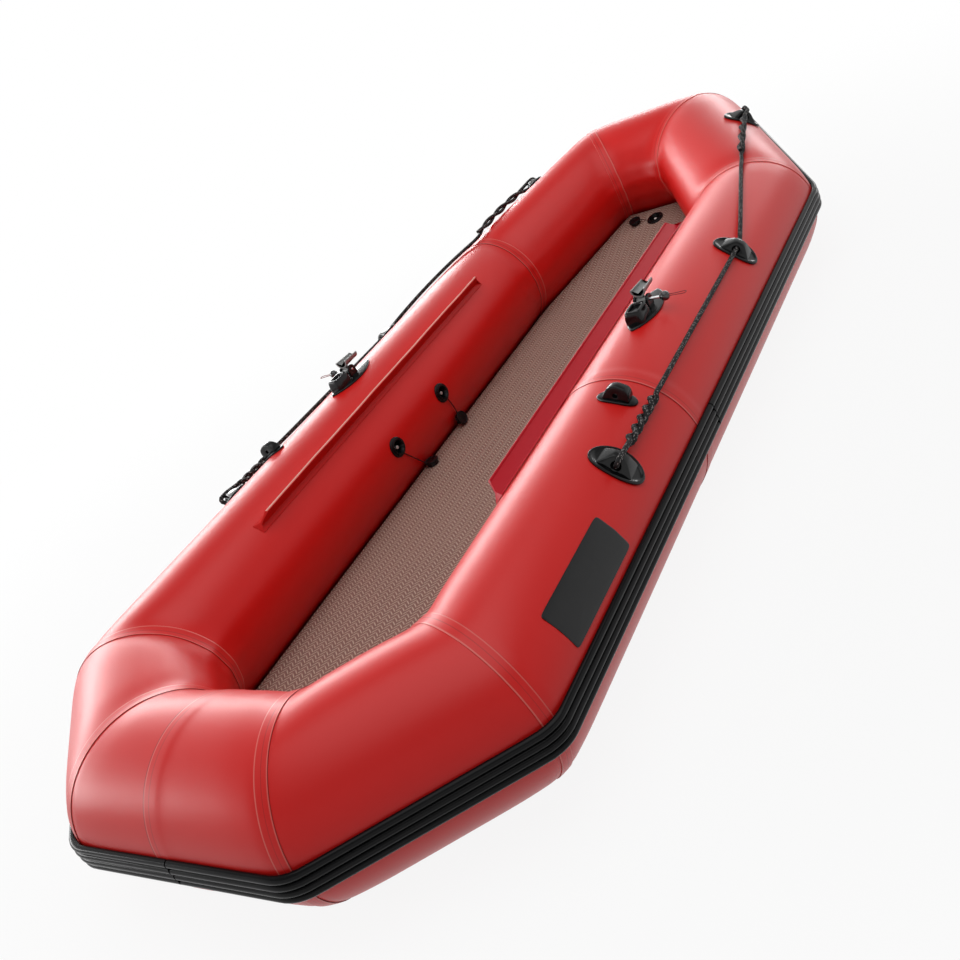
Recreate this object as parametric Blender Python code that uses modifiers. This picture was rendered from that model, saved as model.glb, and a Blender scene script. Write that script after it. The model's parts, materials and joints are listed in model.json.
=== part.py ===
"""Inflatable fishing boat: a ring of mitred tubes, an air deck and its rubber fittings.

Metres, +Z up, +Y towards the raised bow, +X to the boat's right-hand side. The origin is on the
ground under the middle of the tube ring. Each separate piece of the boat is its own object.
"""
import math

import bpy
import bmesh
from mathutils import Matrix, Vector

# Clearances between pieces
TOUCH_GAP = 0.0003
SEAT_GAP = 0.0006
CUTTER_OVERRUN = 0.010

# Tube ring
TUBE_RADIUS = 0.150
TUBE_SKIN = 0.0012
TUBE_SIDES = 28
HALF_BEAM = 0.405
SIDE_LENGTH = 1.630
STERN_RUN = 0.195
STERN_HALF_WIDTH = 0.190
BOW_RUN = 0.440
BOW_HALF_WIDTH = 0.160
BOW_RISE = 0.090
PANEL_SEAM_ALONG = 0.658
TAPE_HALF_WIDTH = 0.013
TAPE_THICKNESS = 0.0008
LAP_WIDTH = 0.026
LAP_STEP = 0.004

# Bulkheads inside the tubes
BULKHEAD_THICKNESS = 0.0012
LEFT_BULKHEAD_ALONG = 0.870
RIGHT_BULKHEAD_ALONG = 0.690

# Floor
BOTTOM_THICKNESS = 0.0009
BOTTOM_INSET = 0.0240
DECK_TOP_HEIGHT = 0.050
DECK_SKIN = 0.0012
DECK_BULGE = 0.016

# Rub strake
STRAKE_LOW_ANGLE = math.radians(-10.3)
STRAKE_HIGH_ANGLE = math.radians(9.2)
STRAKE_WEB = 0.0030
STRAKE_RIB_HEIGHT = 0.0055
STRAKE_RIBS = 4
STRAKE_RIB_SHARE = 0.55
STRAKE_LAP_ALONG = 0.700

# Seat strips
STRIP_ANGLE = math.radians(130.0)
STRIP_START_ALONG = 0.340
STRIP_LENGTH = 1.060
STRIP_FLANGE_WIDTH = 0.028
STRIP_FLANGE_THICKNESS = 0.0015
STRIP_FIN_HEIGHT = 0.034
STRIP_FIN_THICKNESS = 0.0030
STRIP_BEAD_THICKNESS = 0.0050
STRIP_BEAD_HEIGHT = 0.0040
STRIP_END_SLANT = 0.026

# Rope holders
HOLDER_ANGLE = math.radians(46.0)
RIGHT_HOLDER_ALONGS = (0.413, 1.186)
LEFT_HOLDER_ALONGS = (0.478, 1.186)
BOW_HOLDER_ANGLE = math.radians(50.0)
BOW_HOLDER_ALONG = 0.300
BOW_HOLDER_LIFT = 0.0013
HOLDER_LENGTH = 0.104
HOLDER_WIDTH = 0.066
HOLDER_PAD_THICKNESS = 0.0030
HOLDER_RIM_HEIGHT = 0.0012
BRIDGE_LENGTH = 0.064
BRIDGE_TOP_LENGTH = 0.018
BRIDGE_WIDTH = 0.030
BRIDGE_TOP_WIDTH = 0.017
BRIDGE_HEIGHT = 0.0220
EYE_WIDTH = 0.0170
EYE_HEIGHT = 0.0130
EYE_CENTRE_HEIGHT = 0.0100
BEND_STEPS = 8

# Grab lines
ROPE_DIAMETER = 0.010
STRAND_GAP = 0.0009
TWIST_HEIGHT = 0.0170
TWIST_LOW_HEIGHT = 0.0125
TWIST_START = 0.040
STERN_TWIST_LENGTH = 0.150
STERN_TWIST_TURNS = 2.5
BOW_TWIST_LENGTH = 0.240
BOW_TWIST_TURNS = 2.0
CORNER_LINE_ANGLE = math.radians(84.5)
TWIST_POINTS_PER_TURN = 8
TURN_OVERHANG = 0.0125

# Oarlocks
OARLOCK_ALONG = 0.893
OARLOCK_ANGLE = math.radians(88.0)
OARLOCK_LENGTH = 0.170
OARLOCK_WIDTH = 0.066
OARLOCK_PAD_THICKNESS = 0.0040
BLOCK_LENGTH = 0.052
BLOCK_TOP_LENGTH = 0.046
BLOCK_WIDTH = 0.040
BLOCK_TOP_WIDTH = 0.028
BLOCK_HEIGHT = 0.030
BLOCK_CENTRE = -0.040
CHEEK_THICKNESS = 0.0050
CHEEK_LENGTH = 0.026
CHEEK_HEIGHT = 0.032
CHEEK_SPACING = 0.0220
PIN_PLACE = 0.004
PIN_HEIGHT = 0.0210
PIN_RADIUS = 0.0030
PIN_SIDES = 10
PIN_INNER_REACH = 0.0180
PIN_OUTER_REACH = 0.0380
PIN_HOLE_CLEARANCE = 0.0004
KNOB_RADIUS = 0.0100
KNOB_NECK_RADIUS = 0.0050
KNOB_SIDES = 14
SADDLE_LENGTH = 0.056
SADDLE_INNER_RADIUS = 0.0130
SADDLE_END_INNER_RADIUS = 0.0095
SADDLE_WALL = 0.0030
SADDLE_HUB_RADIUS = 0.0085
SADDLE_HUB_CLEARANCE = 0.0005
SADDLE_STEM = 0.0035
SADDLE_REAR_REACH = 0.0075
LOOP_DIAMETER = 0.0016
LOOP_LENGTH = 0.036
LOOP_HALF_WIDTH = 0.0050

# Eye blocks
RIGHT_EYE_BLOCK_ALONG = 0.575
LEFT_EYE_BLOCK_ALONG = 0.605
EYE_BLOCK_ANGLE = math.radians(68.0)
EYE_BLOCK_LENGTH = 0.076
EYE_BLOCK_WIDTH = 0.036
EYE_BLOCK_PAD_THICKNESS = 0.0040
EYE_BLOCK_BODY_WIDTH = 0.024
EYE_BLOCK_BODY_LENGTH = 0.050
EYE_BLOCK_HEIGHT = 0.030
EYE_BLOCK_BORE_RADIUS = 0.0045
EYE_BLOCK_BORE_HEIGHT = 0.0130
EYE_BLOCK_SLOT_WIDTH = 0.0040
EYE_BLOCK_SLOT_DEPTH = 0.0080

# Valves
VALVE_ANGLE = math.radians(175.0)
VALVE_ALONGS = (0.755, 0.985)
DECK_VALVE_INSET = 0.060
DECK_VALVE_SIDE = 0.012
FLANGE_RADIUS = 0.0250
FLANGE_THICKNESS = 0.0030
COLLAR_RADIUS = 0.0190
COLLAR_HEIGHT = 0.0070
BORE_RADIUS = 0.0155
BARREL_RADIUS = 0.0180
BARREL_DEPTH = 0.0160
SEAT_RADIUS = 0.0100
SEAT_THICKNESS = 0.0020
WALL_HOLE_CLEARANCE = 0.0008
GUIDE_DEPTH = 0.0085
GUIDE_THICKNESS = 0.0020
GUIDE_HUB_RADIUS = 0.0045
GUIDE_RIM_WIDTH = 0.0020
GUIDE_SPOKE_WIDTH = 0.0022
GUIDE_SPOKES = 3
STEM_RADIUS = 0.0020
STEM_CLEARANCE = 0.0004
BUTTON_RADIUS = 0.0042
BUTTON_THICKNESS = 0.0018
BUTTON_TOP = 0.0010
DISC_RADIUS = 0.0130
DISC_THICKNESS = 0.0025
SPRING_WIRE = 0.0007
SPRING_RADIUS = 0.0033
SPRING_TURNS = 2.5
VALVE_STEPS = 16

# Valve caps, each moulded in one piece with its strap
CAP_RADIUS = 0.0180
CAP_HEAD_THICKNESS = 0.0050
CAP_PLUG_DEPTH = 0.0080
CAP_PLUG_CLEARANCE = 0.0005
CAP_DISH_DEPTH = 0.0012
CAP_RIM_WIDTH = 0.0025
CAP_LIFT = 0.0008
CAP_TUBE_CLEARANCE = 0.0015
CAP_LEAN = math.radians(14.0)
STRAP_DIAMETER = 0.0024
STRAP_ROOT_ANGLE = math.radians(20.0)
REAR_CAP_FORWARD = 0.0765
FRONT_CAP_FORWARD = 0.0170
DECK_CAP_REACH = 0.064

# Plain patch on the right-hand tube
PATCH_START_ALONG = 0.058
PATCH_LENGTH = 0.226
PATCH_LOW_ANGLE = math.radians(14.5)
PATCH_HIGH_ANGLE = math.radians(42.5)
PATCH_THICKNESS = 0.0008

# Worked out from the sizes above
HALF_LENGTH = (STERN_RUN + SIDE_LENGTH + BOW_RUN) / 2
TAPE_TOP = TOUCH_GAP + TAPE_THICKNESS
OVER_TAPE = TAPE_TOP + TOUCH_GAP
CENTRE_HEIGHT = (TUBE_RADIUS + TAPE_TOP) * math.cos(math.pi / TUBE_SIDES)
CAP_HEIGHT = CAP_PLUG_DEPTH + CAP_HEAD_THICKNESS
ROPE_RADIUS = ROPE_DIAMETER / 2
STRAND_OFFSET = (ROPE_DIAMETER + STRAND_GAP) / 2

RED = (0.62, 0.02, 0.02, 1.0)
TAPE_RED = (0.58, 0.03, 0.03, 1.0)
BLACK = (0.012, 0.012, 0.013, 1.0)
GREY = (0.32, 0.33, 0.33, 1.0)
DECK_GREY = (0.45, 0.40, 0.36, 1.0)
STEEL = (0.60, 0.60, 0.60, 1.0)


def clear_scene():
    """Remove the startup objects."""
    for item in list(bpy.data.objects):
        bpy.data.objects.remove(item, do_unlink=True)


def new_collection(name):
    group = bpy.data.collections.new(name)
    bpy.context.scene.collection.children.link(group)
    return group


def material(name, color, roughness, metallic=0.0):
    """A Principled material with one colour."""
    made = bpy.data.materials.get(name)
    if made is None:
        made = bpy.data.materials.new(name)
        made.use_nodes = True
        shader = made.node_tree.nodes["Principled BSDF"]
        shader.inputs["Base Color"].default_value = color
        shader.inputs["Roughness"].default_value = roughness
        shader.inputs["Metallic"].default_value = metallic
    return made


def add_object(name, mesh, group, made=None, matrix=None):
    """Link a mesh as a named object, with its material and place."""
    item = bpy.data.objects.new(name, mesh)
    group.objects.link(item)
    if made is not None:
        if not mesh.materials:
            mesh.materials.append(made)
    if matrix is not None:
        item.matrix_world = matrix
    return item


def mesh_from_bmesh(name, work, smooth=True):
    bmesh.ops.recalc_face_normals(work, faces=work.faces)
    mesh = bpy.data.meshes.new(name)
    work.to_mesh(mesh)
    work.free()
    if smooth:
        mesh.shade_smooth()
        mesh.set_sharp_from_angle(angle=math.radians(35.0))
    return mesh


def loft(name, rings, wrap_rings=False, caps=True, splits=None):
    """Join equal rings of points into a closed body: sides, then caps or a wrap-round.

    A twisted band is split into triangles along one diagonal or the other: True starts it at the
    first ring's point, False at the first ring's next point.
    """
    work = bmesh.new()
    rows = []
    for ring in rings:
        rows.append([work.verts.new(point) for point in ring])
    count = len(rows[0])
    pairs = list(zip(rows, rows[1:]))
    if wrap_rings:
        pairs.append((rows[-1], rows[0]))
    for band, (first, second) in enumerate(pairs):
        for index in range(count):
            after = (index + 1) % count
            face = (first[index], first[after], second[after], second[index])
            if splits is None:
                work.faces.new(face)
                continue
            if not splits[band]:
                face = face[1:] + face[:1]
            work.faces.new(face[:3])
            work.faces.new((face[0], face[2], face[3]))
    if caps and not wrap_rings:
        work.faces.new(rows[0])
        work.faces.new(list(reversed(rows[-1])))
    return mesh_from_bmesh(name, work)


def evaluated_mesh(item, name):
    """The mesh of an object after its modifiers, welded; the object is removed."""
    bpy.context.view_layer.update()
    graph = bpy.context.evaluated_depsgraph_get()
    mesh = bpy.data.meshes.new_from_object(item.evaluated_get(graph))
    mesh.name = name
    bpy.data.objects.remove(item, do_unlink=True)
    work = bmesh.new()
    work.from_mesh(mesh)
    bmesh.ops.remove_doubles(work, verts=work.verts, dist=TOUCH_GAP / 100)
    work.to_mesh(mesh)
    work.free()
    mesh.shade_smooth()
    mesh.set_sharp_from_angle(angle=math.radians(35.0))
    return mesh


def joined_mesh(name, base, additions, cuts=()):
    """Boolean union of the meshes, less the cuts."""
    scratch = new_collection(name + "_tools")
    main = add_object(name + "_main", base, scratch)
    tools = []
    for operation, meshes in (("UNION", additions), ("DIFFERENCE", cuts)):
        for mesh in meshes:
            tool = add_object(name + "_tool", mesh, scratch)
            boolean = main.modifiers.new("shape", "BOOLEAN")
            boolean.operation = operation
            boolean.solver = "EXACT"
            boolean.object = tool
            tools.append(tool)
    mesh = evaluated_mesh(main, name)
    for tool in tools:
        bpy.data.objects.remove(tool, do_unlink=True)
    bpy.data.collections.remove(scratch)
    return mesh


def turned(name, profile, steps):
    """Spin a closed half-section (radius, height), outer side top to bottom, about Z."""
    mesh = bpy.data.meshes.new(name)
    count = len(profile)
    points = [(radius, 0.0, height) for radius, height in profile]
    closed = profile[0][0] > 0 or profile[-1][0] > 0
    edges = [(index, index + 1) for index in range(count - 1)]
    if closed:
        edges.append((count - 1, 0))
    mesh.from_pydata(points, edges, [])
    item = bpy.data.objects.new(name, mesh)
    bpy.context.scene.collection.objects.link(item)
    screw = item.modifiers.new("turn", "SCREW")
    screw.steps = steps
    screw.render_steps = steps
    screw.use_merge_vertices = True
    screw.merge_threshold = TOUCH_GAP / 10
    return evaluated_mesh(item, name)


def extruded(name, outlines, thickness):
    """A flat outline with holes in it, filled and extruded about its own plane (XY)."""
    curve = bpy.data.curves.new(name, "CURVE")
    curve.dimensions = "2D"
    curve.fill_mode = "BOTH"
    curve.extrude = thickness / 2
    for outline in outlines:
        spline = curve.splines.new("POLY")
        spline.points.add(len(outline) - 1)
        for point, place in zip(spline.points, outline):
            point.co = (place[0], place[1], 0.0, 1.0)
        spline.use_cyclic_u = True
    item = bpy.data.objects.new(name, curve)
    bpy.context.scene.collection.objects.link(item)
    return evaluated_mesh(item, name)


def round_tube(name, points, diameter, group, made, sides=1):
    """A cord, wire or rope along its points, with filled caps."""
    curve = bpy.data.curves.new(name, "CURVE")
    curve.dimensions = "3D"
    curve.bevel_depth = diameter / 2
    curve.bevel_resolution = sides
    curve.use_fill_caps = True
    spline = curve.splines.new("POLY")
    spline.points.add(len(points) - 1)
    for point, place in zip(spline.points, points):
        point.co = (place[0], place[1], place[2], 1.0)
    curve.materials.append(made)
    item = bpy.data.objects.new(name, curve)
    group.objects.link(item)
    return item


def circle(radius, count, centre=(0.0, 0.0), start=0.0):
    points = []
    for index in range(count):
        angle = start + 2 * math.pi * index / count
        points.append((centre[0] + radius * math.cos(angle), centre[1] + radius * math.sin(angle)))
    return points


def smooth_route(points, spans):
    """A smooth curve (Catmull-Rom) through the route's own points."""
    ends = [points[0] * 2 - points[1]] + list(points) + [points[-1] * 2 - points[-2]]
    route = []
    for index in range(1, len(ends) - 2):
        before, start, end, after = ends[index - 1:index + 3]
        for step in range(spans):
            share = step / spans
            route.append(0.5 * (2 * start + (end - before) * share
                                + (2 * before - 5 * start + 4 * end - after) * share ** 2
                                + (3 * start - before - 3 * end + after) * share ** 3))
    route.append(points[-1])
    return route


def least_self_gap(points, diameter, skip):
    """The least gap between turns that lie more than skip points apart."""
    least = None
    for index, point in enumerate(points):
        for other in points[index + skip:]:
            gap = (point - other).length - diameter
            if least is None or gap < least:
                least = gap
    return least


# The tube ring

def ring_corners():
    """Centreline corners, anticlockwise from the right-hand stern corner, and each one's rise."""
    rear = -HALF_LENGTH + STERN_RUN
    front = rear + SIDE_LENGTH
    places = ((HALF_BEAM, rear, 0.0), (HALF_BEAM, front, 0.0),
              (BOW_HALF_WIDTH, HALF_LENGTH, BOW_RISE), (-BOW_HALF_WIDTH, HALF_LENGTH, BOW_RISE),
              (-HALF_BEAM, front, 0.0), (-HALF_BEAM, rear, 0.0),
              (-STERN_HALF_WIDTH, -HALF_LENGTH, 0.0), (STERN_HALF_WIDTH, -HALF_LENGTH, 0.0))
    return [Vector((x, y, CENTRE_HEIGHT + rise)) for x, y, rise in places]


CORNERS = ring_corners()
UP = Vector((0.0, 0.0, 1.0))


def run_direction(run):
    """Level direction of a run, from its corner to the next."""
    step = CORNERS[(run + 1) % 8] - CORNERS[run % 8]
    step.z = 0.0
    return step.normalized()


def run_outward(run):
    direction = run_direction(run)
    return Vector((direction.y, -direction.x, 0.0))


def mitre_vector(corner):
    """The level vector in a corner's mitre plane, one long measured square to each run."""
    before = run_outward(corner - 1)
    after = run_outward(corner)
    return (before + after) / (1.0 + before.dot(after))


def mitre_point(corner, angle, offset=0.0):
    """A point of the tube's mitred end; angle 0 is outboard and a quarter turn is up."""
    corner = corner % 8
    radius = TUBE_RADIUS + offset
    return (CORNERS[corner] + mitre_vector(corner) * (radius * math.cos(angle))
            + UP * (radius * math.sin(angle)))


def surface_point(run, along, angle, offset=0.0):
    """A point on a run's surface, at a distance along its centreline."""
    start = mitre_point(run, angle, offset)
    end = mitre_point(run + 1, angle, offset)
    direction = run_direction(run)
    first = (start - CORNERS[run % 8]).dot(direction)
    last = (end - CORNERS[run % 8]).dot(direction)
    return start.lerp(end, (along - first) / (last - first))


def run_length(run):
    step = CORNERS[(run + 1) % 8] - CORNERS[run % 8]
    step.z = 0.0
    return step.length


def facet_angles():
    """Angles of the tube's corner lines, with a flat face at the bottom."""
    step = 2 * math.pi / TUBE_SIDES
    return [-math.pi / 2 + step / 2 + step * index for index in range(TUBE_SIDES)]


def stepped_in(point, run, angle, offset, distance):
    """A point of a run's surface moved along that line of the tube."""
    line = mitre_point(run + 1, angle, offset) - mitre_point(run, angle, offset)
    return point + line.normalized() * distance


def tube_end(run, place, inward, offset):
    """One end ring of a pipe: at a mitre ('start', 'end') or square at a distance along."""
    points = []
    for angle in facet_angles():
        if place == "start":
            point = mitre_point(run, angle, offset)
        elif place == "end":
            point = mitre_point(run + 1, angle, offset)
        else:
            point = surface_point(run, place, angle, offset)
        points.append(stepped_in(point, run, angle, offset, inward))
    return points


def pipe(name, run, start, end, group, made, lapped=False, left=False):
    """A length of tube, open at both ends; a lapped one's start is glued over the length before.

    A rising run's wall is slightly twisted, so its outer and inner faces are split alike, and the
    left-hand one is the mirror image of the right-hand one.
    """
    gap = TOUCH_GAP * 0.7
    rings = []
    splits = None if lapped else (True, True, False, True)
    if lapped:
        rings += [tube_end(run, start, -LAP_WIDTH, TAPE_TOP), tube_end(run, start, gap, TAPE_TOP),
                  tube_end(run, start, LAP_STEP, 0.0)]
    else:
        rings.append(tube_end(run, start, gap, 0.0))
    rings += [tube_end(run, end, -gap, 0.0), tube_end(run, end, -gap, -TUBE_SKIN),
              tube_end(run, start, gap, -TUBE_SKIN)]
    if lapped:
        rings += [tube_end(run, start, gap, TOUCH_GAP), tube_end(run, start, -LAP_WIDTH, TOUCH_GAP)]
    if left:
        rings = [[Vector((-point.x, point.y, point.z)) for point in ring] for ring in rings]
    return add_object(name, loft(name, rings, wrap_rings=True, splits=splits), group, made)


def tape_rings(run_before, corner, run_after, offset):
    """Rings of a band that is folded over a corner."""
    rings = [[], [], []]
    for angle in facet_angles():
        middle = mitre_point(corner, angle, offset)
        rings[0].append(stepped_in(middle, run_before, angle, offset, -TAPE_HALF_WIDTH))
        rings[1].append(middle)
        rings[2].append(stepped_in(middle, run_after, angle, offset, TAPE_HALF_WIDTH))
    return rings


def corner_tape(name, corner):
    inner = tape_rings(corner - 1, corner, corner, TOUCH_GAP)
    outer = tape_rings(corner - 1, corner, corner, TAPE_TOP)
    return loft(name, outer + list(reversed(inner)), wrap_rings=True)


def surface_frame(run, along, angle, left=False):
    """Place on a tube: X towards the bow, Z out of the tube, Y round it."""
    place = surface_point(run, along, angle)
    reach = TUBE_RADIUS / 10
    turn = reach / TUBE_RADIUS
    toward = surface_point(run, along + reach, angle) - surface_point(run, along - reach, angle)
    toward.normalize()
    around = surface_point(run, along, angle + turn) - surface_point(run, along, angle - turn)
    outward = toward.cross(around).normalized()
    if left:
        place = Vector((-place.x, place.y, place.z))
        toward = Vector((-toward.x, toward.y, toward.z))
        outward = Vector((-outward.x, outward.y, outward.z))
    sideways = outward.cross(toward)
    frame = Matrix.Identity(4)
    for column, axis in enumerate((toward, sideways, outward, place)):
        for row in range(3):
            frame[row][column] = axis[row]
    return frame


def bent(around, height):
    """A point of a tube's section: its length round the tube and its height over it, as (y, z)."""
    angle = around / TUBE_RADIUS
    radius = TUBE_RADIUS + height
    return radius * math.sin(angle), radius * math.cos(angle) - TUBE_RADIUS


def bend(mesh):
    """Bend a mesh that was made flat on to a tube: Y is its length round the tube, Z its height."""
    for vertex in mesh.vertices:
        vertex.co.y, vertex.co.z = bent(vertex.co.y, vertex.co.z)
    mesh.update()
    return mesh


def flipped(mesh, name):
    """A copy mirrored in Y, for the other side of the boat."""
    copy = mesh.copy()
    copy.name = name
    for vertex in copy.vertices:
        vertex.co.y = -vertex.co.y
    copy.flip_normals()
    return copy


def build_tubes(parts, cutters):
    red = material("tube_red", RED, 0.38)
    stern = run_length(6)
    pipe("right_side_tube_rear", 0, "start", PANEL_SEAM_ALONG, parts, red)
    pipe("right_side_tube_front", 0, PANEL_SEAM_ALONG, "end", parts, red, lapped=True)
    pipe("bow_tube_right", 1, "start", "end", parts, red)
    pipe("bow_tube_middle", 2, "start", "end", parts, red)
    pipe("bow_tube_left", 1, "start", "end", parts, red, left=True)
    left = pipe("left_side_tube", 4, "start", "end", parts, red)
    pipe("stern_tube_left", 5, "start", "end", parts, red)
    pipe("stern_tube_middle_left", 6, "start", stern / 2, parts, red)
    pipe("stern_tube_middle_right", 6, stern / 2, "end", parts, red, lapped=True)
    pipe("stern_tube_right", 7, "start", "end", parts, red)
    for number, along in enumerate(VALVE_ALONGS):
        frame = surface_frame(0, along, VALVE_ANGLE, left=True)
        radius = BARREL_RADIUS + WALL_HOLE_CLEARANCE
        bpy.ops.mesh.primitive_cylinder_add(vertices=VALVE_STEPS * 2, radius=radius,
                                            depth=2 * CUTTER_OVERRUN)
        cutter = bpy.context.object
        cutter.name = "valve_hole_%d" % (number + 1)
        cutter.matrix_world = frame
        for owner in list(cutter.users_collection):
            owner.objects.unlink(cutter)
        cutters.objects.link(cutter)
        cutter.hide_render = True
        cutter.display_type = "WIRE"
        boolean = left.modifiers.new("valve_hole", "BOOLEAN")
        boolean.operation = "DIFFERENCE"
        boolean.solver = "EXACT"
        boolean.object = cutter


def build_tapes(parts):
    red = material("tape_red", TAPE_RED, 0.42)
    names = ("seam_tape_stern_right", "seam_tape_bow_right_rear", "seam_tape_bow_right_front",
             "seam_tape_bow_left_front", "seam_tape_bow_left_rear", "seam_tape_stern_left",
             "seam_tape_stern_left_inner", "seam_tape_stern_right_inner")
    for corner, name in enumerate(names):
        add_object(name, corner_tape(name, corner), parts, red)


def build_bulkheads(parts):
    red = material("bulkhead_red", TAPE_RED, 0.5)
    radius = TUBE_RADIUS - TUBE_SKIN - TOUCH_GAP
    for name, along, left in (("left_bulkhead", LEFT_BULKHEAD_ALONG, True),
                              ("right_bulkhead", RIGHT_BULKHEAD_ALONG, False)):
        rings = []
        for sign in (-1, 1):
            shift = sign * BULKHEAD_THICKNESS / 2
            ring = tube_end(0, along, shift, radius - TUBE_RADIUS)
            if left:
                ring = [Vector((-point.x, point.y, point.z)) for point in ring]
            rings.append(ring)
        add_object(name, loft(name, rings), parts, red)


# The floor

def floor_point(corner, inset, height):
    """A point inside a corner, at a height above the tube's lowest line there."""
    place = CORNERS[corner] - mitre_vector(corner) * inset
    return Vector((place.x, place.y, CORNERS[corner].z - CENTRE_HEIGHT + height))


def floor_body(levels, hole=None):
    """Stack eight-cornered rings (inset, height); each face is folded where the bow starts to rise."""
    work = bmesh.new()
    rings = []
    for inset, height in levels:
        rings.append([work.verts.new(floor_point(corner, inset, height)) for corner in range(8)])
    for lower, upper in zip(rings, rings[1:]):
        for index in range(8):
            after = (index + 1) % 8
            work.faces.new((lower[index], lower[after], upper[after], upper[index]))
    flat = (0, 1, 4, 5, 6, 7)
    ramp = (1, 2, 3, 4)
    work.faces.new([rings[0][index] for index in flat])
    work.faces.new([rings[0][index] for index in ramp])
    work.faces.new([rings[-1][index] for index in flat])
    if hole is None:
        work.faces.new([rings[-1][index] for index in ramp])
    else:
        rim = [work.verts.new(point) for point in hole]
        edges = []
        for start, end in zip(ramp, ramp[1:] + ramp[:1]):
            pair = (rings[-1][start], rings[-1][end])
            edges.append(work.edges.get(pair) or work.edges.new(pair))
        for index, vertex in enumerate(rim):
            edges.append(work.edges.new((vertex, rim[(index + 1) % len(rim)])))
        bmesh.ops.triangle_fill(work, edges=edges, use_beauty=True)
    return work


def tube_half_chord(height, offset):
    """Level distance from the centreline to the tube's surface at a height above its lowest line."""
    radius = TUBE_RADIUS + offset
    return math.sqrt(radius ** 2 - (CENTRE_HEIGHT - height) ** 2)


def deck_frame():
    """Place of the deck's valve: on the ramp, Z out of it, X up the slope."""
    inset = tube_half_chord(DECK_TOP_HEIGHT, OVER_TAPE)
    low = (floor_point(1, inset, DECK_TOP_HEIGHT) + floor_point(4, inset, DECK_TOP_HEIGHT)) / 2
    high = (floor_point(2, inset, DECK_TOP_HEIGHT) + floor_point(3, inset, DECK_TOP_HEIGHT)) / 2
    slope = (high - low).normalized()
    across = Vector((1.0, 0.0, 0.0))
    place = high - slope * DECK_VALVE_INSET + across * DECK_VALVE_SIDE
    outward = across.cross(slope)
    sideways = outward.cross(slope)
    frame = Matrix.Identity(4)
    for column, axis in enumerate((slope, sideways, outward, place)):
        for row in range(3):
            frame[row][column] = axis[row]
    return frame


def build_floor(parts):
    sheet = material("bottom_fabric", BLACK, 0.6)
    grey = material("deck_fabric", DECK_GREY, 0.7)
    levels = ((BOTTOM_INSET, 0.0), (BOTTOM_INSET, BOTTOM_THICKNESS))
    add_object("bottom_fabric", mesh_from_bmesh("bottom_fabric", floor_body(levels), False),
               parts, sheet)
    inset = tube_half_chord(DECK_TOP_HEIGHT, OVER_TAPE)
    low = BOTTOM_THICKNESS + TOUCH_GAP
    middle = (low + DECK_TOP_HEIGHT) / 2
    levels = ((inset, low), (inset - DECK_BULGE, middle), (inset, DECK_TOP_HEIGHT))
    frame = deck_frame()
    radius = BARREL_RADIUS + WALL_HOLE_CLEARANCE
    rim = [frame @ Vector((x, y, 0.0)) for x, y in circle(radius, VALVE_STEPS)]
    mesh = mesh_from_bmesh("air_deck", floor_body(levels, rim), False)
    deck = add_object("air_deck", mesh, parts, grey)
    skin = deck.modifiers.new("skin", "SOLIDIFY")
    skin.thickness = DECK_SKIN
    skin.offset = -1.0


# The rub strake

def strake_profile():
    """(angle, offset) points round the section: the back, then ribs and grooves."""
    back = OVER_TAPE
    step = 2 * math.pi / TUBE_SIDES
    inner = [STRAKE_LOW_ANGLE, -step / 2, step / 2, STRAKE_HIGH_ANGLE]
    profile = [(angle, back) for angle in inner]
    width = (STRAKE_HIGH_ANGLE - STRAKE_LOW_ANGLE) / STRAKE_RIBS
    groove = back + STRAKE_WEB
    crest = groove + STRAKE_RIB_HEIGHT
    for rib in reversed(range(STRAKE_RIBS)):
        top = STRAKE_LOW_ANGLE + width * (rib + 1)
        side = width * (1 - STRAKE_RIB_SHARE) / 2
        profile.append((top, groove))
        profile.append((top - side, crest))
        profile.append((top - width + side, crest))
    profile.append((STRAKE_LOW_ANGLE, groove))
    return profile


def strake_station(kind, run, along=0.0, shift=0.0):
    points = []
    for angle, offset in strake_profile():
        if kind == "corner":
            points.append(mitre_point(run, angle, offset))
        else:
            points.append(stepped_in(surface_point(run, along, angle, offset), run, angle, offset, shift))
    return points


def build_strakes(parts):
    black = material("strake_rubber", BLACK, 0.45)
    half = run_length(6) / 2
    gap = TOUCH_GAP
    right = [strake_station("across", 6, half, gap), strake_station("corner", 7),
             strake_station("corner", 0), strake_station("across", 0, STRAKE_LAP_ALONG, -gap)]
    left = [strake_station("across", 0, STRAKE_LAP_ALONG, gap)]
    left += [strake_station("corner", corner) for corner in range(1, 7)]
    left.append(strake_station("across", 6, half, -gap))
    add_object("rub_strake_right", loft("rub_strake_right", right), parts, black)
    add_object("rub_strake_bow_and_left", loft("rub_strake_bow_and_left", left), parts, black)


# Seat strips

def strip_mesh(name, base):
    """A flange with a beaded fin along its middle and slanted ends; base is its height over the tube."""
    top = base + STRIP_FLANGE_THICKNESS
    tip = base + STRIP_FIN_HEIGHT
    neck = tip - STRIP_BEAD_HEIGHT
    half = STRIP_FLANGE_WIDTH / 2
    fin = STRIP_FIN_THICKNESS / 2
    bead = STRIP_BEAD_THICKNESS / 2
    outline = ((half, base), (half, top), (fin, top), (fin, neck), (bead, neck), (bead, tip),
               (-bead, tip), (-bead, neck), (-fin, neck), (-fin, top), (-half, top), (-half, base),
               (-half / 2, base), (0.0, base), (half / 2, base))
    rings = []
    for sign in (-1, 1):
        ring = []
        for around, height in outline:
            slant = STRIP_END_SLANT * (height - base) / STRIP_FIN_HEIGHT
            ring.append(Vector((sign * (STRIP_LENGTH / 2 - slant), around, height)))
        rings.append(ring)
    return bend(loft(name, rings))


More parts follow.
